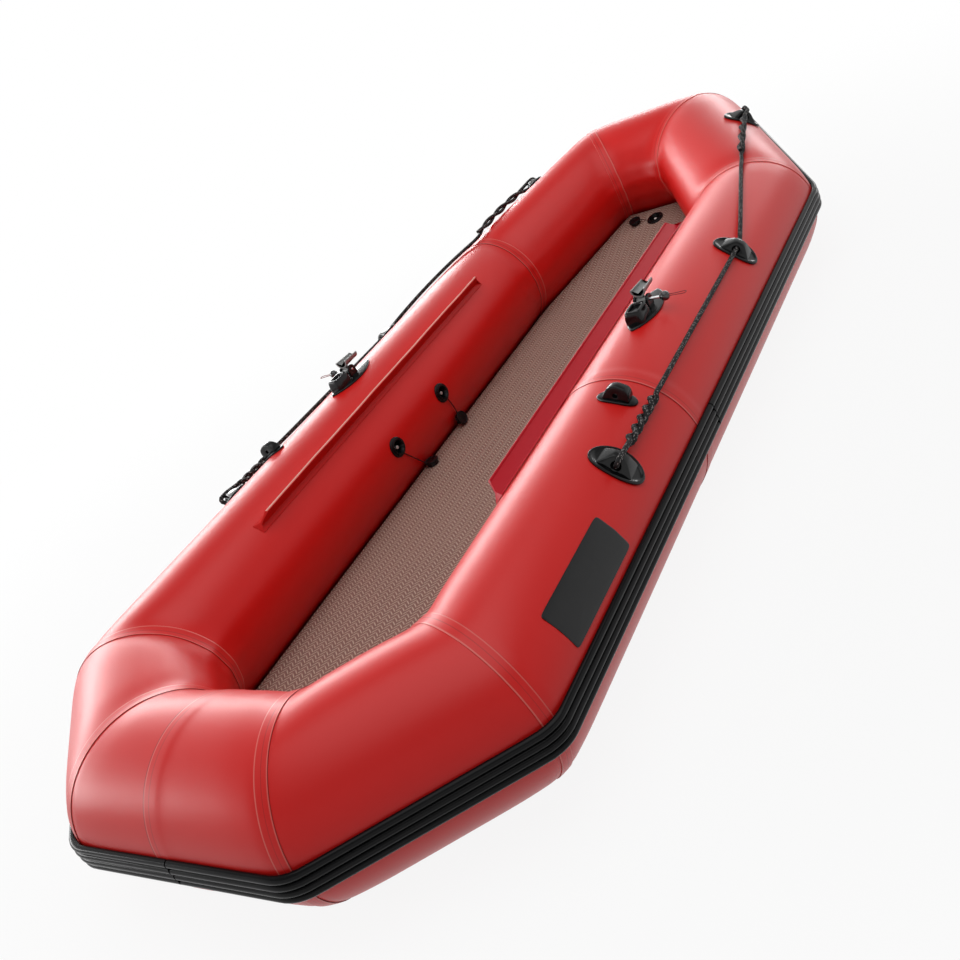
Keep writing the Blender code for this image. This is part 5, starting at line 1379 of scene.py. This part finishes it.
def saddle_parts():
    """A bored hub, a stem, and a half-round gutter whose radius tapers towards its front.

    The gutter's loop runs round the outer half circle, over a lip, back inside and over a lip.
    """
    angles = np.linspace(0.0, 2 * np.pi, 40, endpoint=False)
    ring = np.stack([np.cos(angles), np.sin(angles)], axis=1) * 0.0085
    plate = bored_plate(ring, (0.0, 0.0), (PIN_HOLE, PIN_HOLE), 0.0105, 0.0010, 56)
    hub = np.stack([plate[..., 0], plate[..., 2], plate[..., 1]], axis=-1)
    share = np.linspace(0.0, 1.0, 26)[:, None]
    inner = 0.0130 + (0.0095 - 0.0130) * share
    flare = 0.0006 * np.exp(-share / 0.06) + 0.0006 * np.exp(-(1 - share) / 0.06)
    outer = inner + GUTTER_THICKNESS + flare
    middle, half = (outer + inner) / 2, (outer - inner) / 2
    turn = np.linspace(np.pi, 2 * np.pi, 22)
    lip = np.linspace(0.0, np.pi, 6)[1:-1]
    y = np.concatenate([outer * np.cos(turn), middle + half * np.cos(lip), inner * np.cos(turn[::-1]),
                        -middle + half * np.cos(lip)], axis=1)
    z = np.concatenate([outer * np.sin(turn), half * np.sin(lip), inner * np.sin(turn[::-1]),
                        half * np.sin(lip)], axis=1)
    x = (-0.0075 + 0.0545 * share) * np.ones_like(y)
    gutter = np.stack([x, y, z + GUTTER_BOTTOM + inner + GUTTER_THICKNESS], axis=-1)
    sizes = [(0.0045 * size, 0.0062 * size, height)
             for size, height in ((1.15, 0.0060), (1.0, 0.0080), (1.0, 0.0100), (1.2, 0.0125))]
    return hub, gutter, stacked(rounded_square(40, 0.5), sizes)


PIN_PROFILE = [(0.0, 0.0180), (0.0018, 0.0180), (0.0027, 0.0176), (0.0030, 0.0168), (0.0030, 0.0125),
               (0.0026, 0.0122), (0.0026, 0.0114), (0.0030, 0.0111), (0.0030, -0.0374), (0.0027, -0.0379),
               (0.0, -0.0380)]


def knob_profile():
    """A ball on a short neck, top to bottom."""
    turn = np.linspace(math.radians(148.0), 0.0, 18)
    rows = [(0.0, 0.0105), (0.0046, 0.0105), (0.0052, 0.0101), (0.0052, 0.0090)]
    rows += [(KNOB_RADIUS * math.sin(a), -KNOB_RADIUS * math.cos(a)) for a in turn]
    rows[-1] = (0.0, -KNOB_RADIUS)
    return rows


def loop_cord(way, angle):
    """Cord radius with two strands' bumps, cos(2 a + 2600 w)."""
    return LOOP_RADIUS + 0.00009 * np.cos(2 * angle + way * 2600.0)


def pull_loop():
    """The pull loop's way, out along one side and back along the other, mirrored."""
    half = np.array([(0.0035, 0.0, 0.0), (0.0036, 0.0, -0.010), (0.0042, 0.0, -0.020),
                     (0.0050, 0.0, -0.028), (0.0046, 0.0, -0.0335), (0.0026, 0.0, -0.0357),
                     (0.0, 0.0, -0.0362)])
    return np.concatenate([half, half[-2::-1] * (-1.0, 1.0, 1.0)]) - (0.0, 0.0, LOOP_START)


def build_oarlocks():
    """Make each side's base, saddle, pin, knob and pull loop."""
    base, block, cheeks = oarlock_base()
    hub, gutter, stem = saddle_parts()
    loop_red = finish("pull_loop_cord", (0.22, 0.016, 0.018, 1.0), (0.34, 0.06, 0.05, 1.0), 0.7,
                      amount=0.8, scale=200.0, grain=0.5, grain_scale=2500.0)
    knob_black = finish("knob_plastic", (0.012, 0.012, 0.013, 1.0), (0.04, 0.04, 0.04, 1.0), 0.14,
                        spread=0.1, scale=60.0, grain=0.05, coat=0.5)
    for side, left in (("right", False), ("left", True)):
        made = surface_frame(0, OARLOCK_ALONG, OARLOCK_ANGLE, left)
        parts = [capped(base, made), capped(block, made)] + [ringed(cheek, made) for cheek in cheeks]
        make_piece("oarlock_base_%s_rubber" % side, parts, fitting_finish(),
                   nodes=("oarlock_base_" + side,))
        pin_frame = made @ moved(PIN_PLACE, 0.0, PIN_HEIGHT)
        parts = [ringed(hub, pin_frame), capped(gutter, pin_frame), capped(stem, pin_frame)]
        make_piece("oar_saddle_%s_plastic" % side, parts, saddle_finish(), side + "_saddle",
                   ("oar_saddle_" + side,), sharp=50.0)
        along_pin = pin_frame @ turned_frame(math.pi / 2 if left else -math.pi / 2, "X")
        make_piece("oarlock_pin_%s_rod" % side, [revolved(PIN_PROFILE, 32, along_pin)], steel_finish(),
                   side + "_pin", ("oarlock_pin_" + side,))
        knob_frame = along_pin @ moved(z=-KNOB_DROP)
        make_piece("oarlock_knob_%s_ball" % side, [revolved(knob_profile(), 40, knob_frame)], knob_black,
                   side + "_pin", ("oarlock_knob_" + side,))
        path = smooth_path(placed(pull_loop(), knob_frame), 0.0006)
        make_piece("knob_pull_loop_%s_cord" % side, [swept_tube(path, loop_cord, 12)], loop_red,
                   side + "_pin", ("knob_pull_loop_" + side,))


# Eye blocks

def build_eye_blocks():
    """Make both eye blocks: an oval foot and a leaning, tapered body with a cross hole."""
    levels = ((0.04, 0.0006), (0.5, 0.0006), (0.97, 0.0006), (1.0, 0.0012), (1.0, 0.0030),
              (0.97, 0.0042), (0.92, 0.0046), (0.6, 0.0047), (0.3, 0.0050), (0.04, 0.0050))
    base = pad(oval(0.036, 0.076, 72, 0.75), levels)
    outline = rounded_loop([(-0.0250, 0.0020), (0.0250, 0.0020), (0.0225, 0.0120), (0.0150, 0.0240),
                            (0.0060, 0.0298), (-0.0010, 0.0312), (-0.0090, 0.0292), (-0.0180, 0.0272),
                            (-0.0235, 0.0140)], 2)
    plate = bored_plate(outline, (0.0, 0.0130), (0.0045, 0.0045), 0.0120, 0.0020)
    body = np.stack([plate[..., 2], plate[..., 0], plate[..., 1]], axis=-1)
    share = np.clip((body[..., 2] - 0.004) / 0.026, 0.0, 1.0)
    body[..., 0] *= 1.0 - 0.30 * share ** 1.5
    body = bent(body)
    for side, along in (("right", RIGHT_EYE_BLOCK_ALONG), ("left", LEFT_EYE_BLOCK_ALONG)):
        left = side == "left"
        made = surface_frame(0, along, EYE_BLOCK_ANGLE, left)
        flip = np.array([1.0, -1.0 if left else 1.0, 1.0])
        parts = [capped(base * flip, made), ringed(body * flip, made)]
        make_piece("eye_block_%s_rubber" % side, parts, fitting_finish(), nodes=("eye_block_" + side,))


# Valves

def valve_profile():
    """Collar, flange, barrel, seat and bore as one closed half-section, with thread ridges."""
    thread = [(0.0155 + (0.0 if step % 2 else 0.0005), 0.0052 - 0.0009 * step) for step in range(13)]
    return ([(0.0160, 0.0070), (0.0184, 0.0070), (0.0189, 0.0068), (0.0190, 0.0062), (0.0190, 0.0044),
             (0.0192, 0.0038), (0.0200, 0.0036), (0.0236, 0.0036), (0.0246, 0.0032), (0.0250, 0.0024),
             (0.0250, 0.0008), (0.0247, 0.0006), (0.0180, 0.0006), (0.0180, -0.0158), (0.0178, -0.0160),
             (0.0100, -0.0160), (0.0100, -0.0140), (0.0153, -0.0140), (0.0155, -0.0138)]
            + thread[::-1] + [(0.0156, 0.0062), (0.0158, 0.0068)])


def flange_bend(made, curved):
    """Place a valve body; on a tube its flange is bent down by R - sqrt(R^2 - y^2)."""
    def place(points):
        points = points.copy()
        if curved:
            reach = np.hypot(points[..., 0], points[..., 1])
            bend = (reach > FLANGE_START) & (points[..., 2] < 0.0041) & (points[..., 2] > -0.002)
            drop = TUBE_RADIUS - np.sqrt(TUBE_RADIUS ** 2 - points[..., 1] ** 2)
            points[..., 2] -= np.where(bend, drop, 0.0)
        return placed(points, made)
    return place


def guide_parts(made):
    """The spoked guide: a rim, a hub, and three rounded spokes between them."""
    middle = GUIDE_MIDDLE
    rim = [(0.0156, middle + 0.0010), (0.0156, middle - 0.0010), (0.0142, middle - 0.0009),
           (0.0139, middle), (0.0142, middle + 0.0009)]
    hub = [(0.0044, middle + 0.0008), (0.0042, middle + 0.0010), (0.0026, middle + 0.0010),
           (0.0024, middle + 0.0008), (0.0024, middle - 0.0008), (0.0026, middle - 0.0010),
           (0.0042, middle - 0.0010), (0.0044, middle - 0.0008)]
    parts = [revolved(rim, 48, made), revolved(hub, 32, made)]
    angle = np.linspace(0.0, 2 * np.pi, 12, endpoint=False)
    reach = np.linspace(0.0040, 0.0146, 6)[:, None]
    side = 0.0010 * np.cos(angle) * np.ones_like(reach)
    height = middle + 0.0009 * np.sin(angle) * np.ones_like(reach)
    for spoke in range(3):
        turn = 2 * math.pi * (spoke + 0.5) / 3 + math.pi / 3
        points = np.stack([reach * math.cos(turn) - side * math.sin(turn),
                           reach * math.sin(turn) + side * math.cos(turn), height], axis=-1)
        parts.append(capped(points, made))
    return parts


PLUNGER_PROFILE = [(0.0, -0.0008), (0.0020, -0.0008), (0.0020, -0.0163), (0.0126, -0.0163), (0.0130, -0.0167),
                   (0.0130, -0.0184), (0.0126, -0.0188), (0.0, -0.0188)]
BUTTON_PROFILE = [(0.0, 0.0010), (0.0026, 0.0010), (0.0036, 0.0008), (0.0042, 0.0002), (0.0042, -0.0006),
                  (0.0040, -0.0008), (0.0, -0.0008)]


def return_coil(made):
    """A wire coil: a helix (R cos t, R sin t, z) whose height grows evenly with the turn t."""
    share = np.linspace(0.0, 1.0, int(32 * SPRING_TURNS) + 1)
    turn = 2 * np.pi * SPRING_TURNS * share
    height = SPRING_LOW + SPRING_WIRE / 2 + (SPRING_HIGH - SPRING_LOW - SPRING_WIRE) * share
    points = np.stack([SPRING_RADIUS * np.cos(turn), SPRING_RADIUS * np.sin(turn), height], axis=-1)
    return swept_tube(placed(points, made), SPRING_WIRE / 2, 10)


def build_valves():
    """Make each valve's body, plunger, button and spring; each spring gets a mesh of its own."""
    black = valve_finish()
    # The button's pale colour is a painted glint: it stands in for the light caught at the valve's middle
    white = finish("button_plastic", (0.62, 0.61, 0.58, 1.0), (0.48, 0.46, 0.43, 1.0), 0.35, amount=0.7,
                   scale=90.0, grain=0.1)
    places = (("rear", surface_frame(0, VALVE_ALONGS[0], VALVE_ANGLE, True), True),
              ("front", surface_frame(0, VALVE_ALONGS[1], VALVE_ANGLE, True), True),
              ("deck", deck_frame(), False))
    for name, made, curved in places:
        node = name + "_valve_"
        body = revolved(valve_profile(), 64, flange_bend(made, curved))
        make_piece(node + "body_plastic", [body] + guide_parts(made), black, nodes=(node + "body",))
        make_piece(node + "plunger_disc", [revolved(PLUNGER_PROFILE, 40, made)], black,
                   name + "_plunger", (node + "plunger",))
        make_piece(node + "plunger_button", [revolved(BUTTON_PROFILE, 32, made)], white,
                   name + "_plunger", (node + "plunger",))
        spring = make_piece(node + "return_spring", [return_coil(made)], steel_finish(),
                            nodes=(node + "spring",))
        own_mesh(spring)


def cap_profile():
    """Dished head with a rounded rim, then the threaded plug below it."""
    thread = [(0.0150 - (0.0004 if step % 2 else 0.0), 0.0072 - 0.0009 * step) for step in range(8)]
    return ([(0.0, 0.0118), (0.0135, 0.0118), (0.0145, 0.0120), (0.0150, 0.0128), (0.0156, 0.0130),
             (0.0172, 0.0130), (0.0178, 0.0127), (0.0180, 0.0120), (0.0180, 0.0090), (0.0178, 0.0083),
             (0.0172, 0.0080), (0.0150, 0.0080)] + thread + [(0.0146, 0.0004), (0.0142, 0.0), (0.0, 0.0)])


def grip(radius, height, angle):
    """Small notches round the cap's head."""
    head = (radius > 0.0170) & (height > 0.0082) & (height < 0.0128)
    return np.where(head, -0.0004 * (0.5 + 0.5 * np.cos(28 * angle)), 0.0)


def cap_piece(name, made, root, sag, neck=1.0):
    """A cap at its place, with its thin strap, thinner by the neck's share, back to its root."""
    def strap_radius(way, angle):
        grown = np.clip((way - 0.007) / 0.008, 0.0, 1.0)
        return STRAP_DIAMETER / 2 * (neck + (1 - neck) * grown * grown * (3 - 2 * grown)) + 0.0 * angle

    toward = np.linalg.inv(made) @ np.append(root, 1.0)
    toward = toward[:3] * np.array([1.0, 1.0, 0.0])
    toward = toward / np.linalg.norm(toward) * (CAP_RADIUS - STRAP_DIAMETER / 2)
    toward[2] = STRAP_HEIGHT_ON_CAP
    end = placed(toward, made)
    route = [root, root + (end - root) * 0.33 + sag * 0.8, root + (end - root) * 0.67 + sag, end]
    strap = swept_tube(smooth_path(route, 0.001), strap_radius, 16)
    make_piece(name + "_valve_cap_plastic", [revolved(cap_profile(), 84, made, grip), strap],
               valve_finish(), name + "_cap", (name + "_valve_cap",))


def tube_reach(height):
    """Level distance in from the left tube's centreline at which the tube stands at a height."""
    return math.sqrt(TUBE_RADIUS ** 2 - (CENTRE_HEIGHT - height) ** 2)


def build_caps():
    """Make the caps: the rear one lying, the front one standing, the deck's on the deck."""
    sag = np.array([STRAP_DIAMETER, 0.0, -STRAP_DIAMETER])
    reach = FLANGE_RADIUS + TOUCH_GAP + STRAP_DIAMETER / 2
    turn = math.radians(20.0)
    local = np.array([reach * math.sin(turn), -reach * math.cos(turn), -STRAP_DIAMETER / 4])
    roots = [placed(local, surface_frame(0, along, VALVE_ANGLE, True)) for along in VALVE_ALONGS]
    low = DECK_TOP + CAP_LIFT
    x = -HALF_BEAM + tube_reach(low + CAP_HEIGHT) + CAP_TUBE_GAP + CAP_RADIUS
    cap_piece("rear", moved(x, roots[0][1] + REAR_CAP_AHEAD, low), roots[0], sag)
    rise = CAP_RADIUS * math.cos(FRONT_CAP_LEAN)
    x = -HALF_BEAM + tube_reach(low + 2 * rise) + CAP_TUBE_GAP + CAP_RADIUS * math.sin(FRONT_CAP_LEAN)
    standing = (moved(x, roots[1][1] + FRONT_CAP_AHEAD, low + rise)
                @ turned_frame(math.pi / 2 - FRONT_CAP_LEAN, "Y") @ moved(z=-FRONT_CAP_SHIFT))
    cap_piece("front", standing, roots[1], sag)
    deck = deck_frame()
    root = placed(np.array([0.0, reach, STRAP_HEIGHT_ON_FLANGE]), deck)
    cap_piece("deck", deck @ moved(y=DECK_CAP_REACH, z=CAP_LIFT), root, np.zeros(3), STRAP_NECK)


# Patch

def build_patch():
    """A thin rounded rectangle on the tube: a superellipse of shares, laid by angle and distance."""
    square = rounded_square(160, 0.09)
    levels = np.array([(0.02, 0.0004), (0.5, 0.0004), (0.985, 0.0004), (1.0, 0.0006), (1.0, 0.0012),
                       (0.994, 0.0015), (0.97, 0.0016), (0.7, 0.0016), (0.4, 0.0016), (0.02, 0.0016)])
    share, height = levels[:, :1], levels[:, 1:]
    along = PATCH_START + PATCH_LENGTH * (0.5 + 0.5 * square[:, 0] * share)
    angle = (PATCH_LOW + PATCH_HIGH) / 2 + (PATCH_HIGH - PATCH_LOW) / 2 * square[:, 1] * share
    points = surface_point(0, along, angle, height * np.ones_like(along))
    make_piece("tube_patch_sheet",
               [grid(points, closed_uv(points[..., 1:]), wrap_columns=True, caps=True)],
               patch_finish(), nodes=("tube_patch",))


def build_hidden():
    """Give the bulkheads, whose nodes stay as they are, the tapes' red."""
    color = tuple(colors().tape)
    red = finish("bulkhead_coating", color, lighter(color, 0.2), 0.6, amount=0.6, grain=0.3,
                 grain_scale=700.0)
    for node in ("left_bulkhead", "right_bulkhead"):
        item = bpy.data.objects[node]
        item.data.materials.clear()
        item.data.materials.append(red)


# Stage

def plain_stage_finish():
    """A pale floor that looks near white to the camera and in reflections, and keeps soft shadows."""
    made, tree, shader, places = blank_material("pale_floor")
    shader.inputs["Base Color"].default_value = (0.60, 0.60, 0.60, 1.0)
    shader.inputs["Roughness"].default_value = 0.9
    shader.inputs["Specular IOR Level"].default_value = 0.1
    glow = new_node(tree, "ShaderNodeEmission", (("Color", (1.0, 1.0, 1.0, 1.0)), ("Strength", 1.0)))
    rays = tree.nodes.new("ShaderNodeLightPath")
    seen = math_node(tree, "MAXIMUM", rays.outputs["Is Camera Ray"],
                     math_node(tree, "MAXIMUM", rays.outputs["Is Glossy Ray"],
                               rays.outputs["Is Transmission Ray"]))
    length = new_node(tree, "ShaderNodeVectorMath", ((0, places["Object"]),), operation="LENGTH")
    away = new_node(tree, "ShaderNodeMapRange", (("Value", length.outputs["Value"]), ("From Min", 1.0),
                                                 ("From Max", 3.0), ("To Min", 0.90), ("To Max", 1.0)),
                    interpolation_type="SMOOTHSTEP")
    share = math_node(tree, "MULTIPLY", seen, away.outputs[0])
    mix = new_node(tree, "ShaderNodeMixShader", ((0, share), (1, shader.outputs[0]),
                                                 (2, glow.outputs[0])))
    tree.links.new(mix.outputs[0], tree.nodes["Material Output"].inputs["Surface"])
    return made


def soft_light(name, power, size, place, aim):
    """A rectangular lamp at a place, turned to its aim."""
    lamp = bpy.data.lights.new(name, "AREA")
    lamp.shape = "RECTANGLE"
    lamp.size, lamp.size_y = size
    lamp.energy = power
    item = bpy.data.objects.new(name, lamp)
    item.location = place
    item.rotation_euler = (Vector(aim) - Vector(place)).to_track_quat("-Z", "Y").to_euler()
    bpy.context.scene.collection.objects.link(item)


def sweep_points():
    """Floor and backdrop as one sheet: rows of a profile (reach, height) turned about the boat.

    The profile runs flat, then up a quarter circle on the left and the bow side; on the other sides
    it stands up much farther away, where the wall adds (1.05 - rise) of its height.
    """
    turn = np.radians(np.linspace(0.0, 360.0, 97))
    rise = np.clip(np.cos(turn - SWEEP_TURN) + 0.35, 0.0, 1.0) ** 0.5
    flat = np.linspace(0.0, SWEEP_START, 4)
    bend = np.linspace(0.0, np.pi / 2, 12)
    reach = np.concatenate([flat, SWEEP_START + SWEEP_RADIUS * np.sin(bend),
                            np.full(4, SWEEP_START + SWEEP_RADIUS)])
    height = np.concatenate([np.zeros(4), SWEEP_RADIUS * (1 - np.cos(bend)), [5.0, 7.0, 7.0, 7.0]])
    wall = np.concatenate([np.zeros(18), [7.0, 14.0]])
    far = reach[:, None] + (1 - rise) * height[:, None] * 2.5
    up = height[:, None] * rise + wall[:, None] * (1.05 - rise)
    return np.stack([far * np.cos(turn), far * np.sin(turn), up - 0.0015], axis=-1)


def build_stage():
    """Make the floor, the lamps and the even sky."""
    scene = bpy.context.scene
    levels = scene.boat_stage
    vertices, faces, _ = grid(sweep_points())
    mesh = bpy.data.meshes.new("stage_floor")
    mesh.from_pydata(vertices.tolist(), [], faces)
    mesh.shade_smooth()
    mesh.materials.append(plain_stage_finish())
    floor = bpy.data.objects.new("stage_floor", mesh)
    scene.collection.objects.link(floor)
    for name, (size, place, aim) in LAMPS.items():
        soft_light(name + "_light", getattr(levels, name + "_power"), size, place, aim)
    world = bpy.data.worlds.new("plain_sky")
    world.use_nodes = True
    back = world.node_tree.nodes["Background"]
    back.inputs["Color"].default_value = (1.0, 1.0, 1.0, 1.0)
    back.inputs["Strength"].default_value = levels.sky_level
    scene.world = world
    scene.view_settings.view_transform = "Standard"


def build_camera():
    """The photograph's view, solved from the seams of the tube ring."""
    scene = bpy.context.scene
    lens = bpy.data.cameras.new("view")
    lens.lens = LENS
    lens.sensor_width = SENSOR_WIDTH
    lens.shift_x, lens.shift_y = LENS_SHIFT
    lens.clip_end = 100.0
    right, down, forward = (Vector(row) for row in CAMERA_AXES)
    turn = Matrix((right, -down, -forward)).transposed()
    view = bpy.data.objects.new("view", lens)
    view.matrix_world = Matrix.Translation(CAMERA_PLACE) @ turn.to_4x4()
    scene.collection.objects.link(view)
    scene.camera = view


# Operators

class BOAT_OT_stage(Operator):
    """Make the floor, the lights and the camera"""
    bl_idname = "boat.stage"
    bl_label = "Stage"
    bl_options = {"REGISTER", "UNDO"}

    def execute(self, context):
        build_camera()
        build_stage()
        return {"FINISHED"}


class BOAT_OT_tubes(Operator):
    """Make the ten tube lengths"""
    bl_idname = "boat.tubes"
    bl_label = "Tubes"
    bl_options = {"REGISTER", "UNDO"}

    def execute(self, context):
        build_tubes()
        return {"FINISHED"}


class BOAT_OT_tapes(Operator):
    """Make the seam tapes over the corners"""
    bl_idname = "boat.tapes"
    bl_label = "Seam Tapes"
    bl_options = {"REGISTER", "UNDO"}

    def execute(self, context):
        build_tapes()
        return {"FINISHED"}


class BOAT_OT_floor(Operator):
    """Make the deck and the bottom panel"""
    bl_idname = "boat.floor"
    bl_label = "Floor"
    bl_options = {"REGISTER", "UNDO"}

    def execute(self, context):
        build_floor()
        return {"FINISHED"}


class BOAT_OT_strakes(Operator):
    """Make the ribbed rub strake"""
    bl_idname = "boat.strakes"
    bl_label = "Rub Strake"
    bl_options = {"REGISTER", "UNDO"}

    def execute(self, context):
        build_strakes()
        return {"FINISHED"}


class BOAT_OT_strips(Operator):
    """Make the seat strips"""
    bl_idname = "boat.strips"
    bl_label = "Seat Strips"
    bl_options = {"REGISTER", "UNDO"}

    def execute(self, context):
        build_strips()
        return {"FINISHED"}


class BOAT_OT_holders(Operator):
    """Make the rope holders"""
    bl_idname = "boat.holders"
    bl_label = "Rope Holders"
    bl_options = {"REGISTER", "UNDO"}

    def execute(self, context):
        build_holders()
        return {"FINISHED"}


class BOAT_OT_ropes(Operator):
    """Make the braided grab lines"""
    bl_idname = "boat.ropes"
    bl_label = "Grab Lines"
    bl_options = {"REGISTER", "UNDO"}

    def execute(self, context):
        build_ropes()
        return {"FINISHED"}


class BOAT_OT_oarlocks(Operator):
    """Make the oarlocks, their saddles, pins, knobs and pull loops"""
    bl_idname = "boat.oarlocks"
    bl_label = "Oarlocks"
    bl_options = {"REGISTER", "UNDO"}

    def execute(self, context):
        build_oarlocks()
        return {"FINISHED"}


class BOAT_OT_eye_blocks(Operator):
    """Make the eye blocks"""
    bl_idname = "boat.eye_blocks"
    bl_label = "Eye Blocks"
    bl_options = {"REGISTER", "UNDO"}

    def execute(self, context):
        build_eye_blocks()
        return {"FINISHED"}


class BOAT_OT_valves(Operator):
    """Make the valves and their plungers"""
    bl_idname = "boat.valves"
    bl_label = "Valves"
    bl_options = {"REGISTER", "UNDO"}

    def execute(self, context):
        build_valves()
        return {"FINISHED"}


class BOAT_OT_caps(Operator):
    """Make the valve caps and their straps"""
    bl_idname = "boat.caps"
    bl_label = "Valve Caps"
    bl_options = {"REGISTER", "UNDO"}

    def execute(self, context):
        build_caps()
        return {"FINISHED"}


class BOAT_OT_patch(Operator):
    """Make the plain patch and finish the bulkheads"""
    bl_idname = "boat.patch"
    bl_label = "Patch and Bulkheads"
    bl_options = {"REGISTER", "UNDO"}

    def execute(self, context):
        build_patch()
        build_hidden()
        return {"FINISHED"}


STEPS = (BOAT_OT_stage, BOAT_OT_tubes, BOAT_OT_tapes, BOAT_OT_floor, BOAT_OT_strakes, BOAT_OT_strips,
         BOAT_OT_holders, BOAT_OT_ropes, BOAT_OT_oarlocks, BOAT_OT_eye_blocks, BOAT_OT_valves,
         BOAT_OT_caps, BOAT_OT_patch)


class BOAT_PT_panel(Panel):
    """Lists the steps and their settings"""
    bl_idname = "BOAT_PT_panel"
    bl_label = "Inflatable Boat"
    bl_space_type = "VIEW_3D"
    bl_region_type = "UI"
    bl_category = "Boat"

    def draw(self, context):
        layout = self.layout
        for group in (context.scene.boat_shape, context.scene.boat_colors, context.scene.boat_stage):
            for name in group.__annotations__:
                layout.prop(group, name)
        for step in STEPS:
            layout.operator(step.bl_idname)


GROUPS = (("boat_shape", BoatShape), ("boat_colors", BoatColors), ("boat_stage", BoatStage))


def register():
    """Register the groups, the steps and the panel."""
    for name, group in GROUPS:
        bpy.utils.register_class(group)
        setattr(bpy.types.Scene, name, PointerProperty(type=group))
    for step in STEPS + (BOAT_PT_panel,):
        bpy.utils.register_class(step)


def unregister():
    """Take them out again in the other order."""
    for step in reversed(STEPS + (BOAT_PT_panel,)):
        bpy.utils.unregister_class(step)
    for name, group in reversed(GROUPS):
        delattr(bpy.types.Scene, name)
        bpy.utils.unregister_class(group)


def main():
    """Run every step."""
    register()
    for step in STEPS:
        getattr(bpy.ops.boat, step.bl_idname.split(".")[1])()


if __name__ == "__main__":
    main()
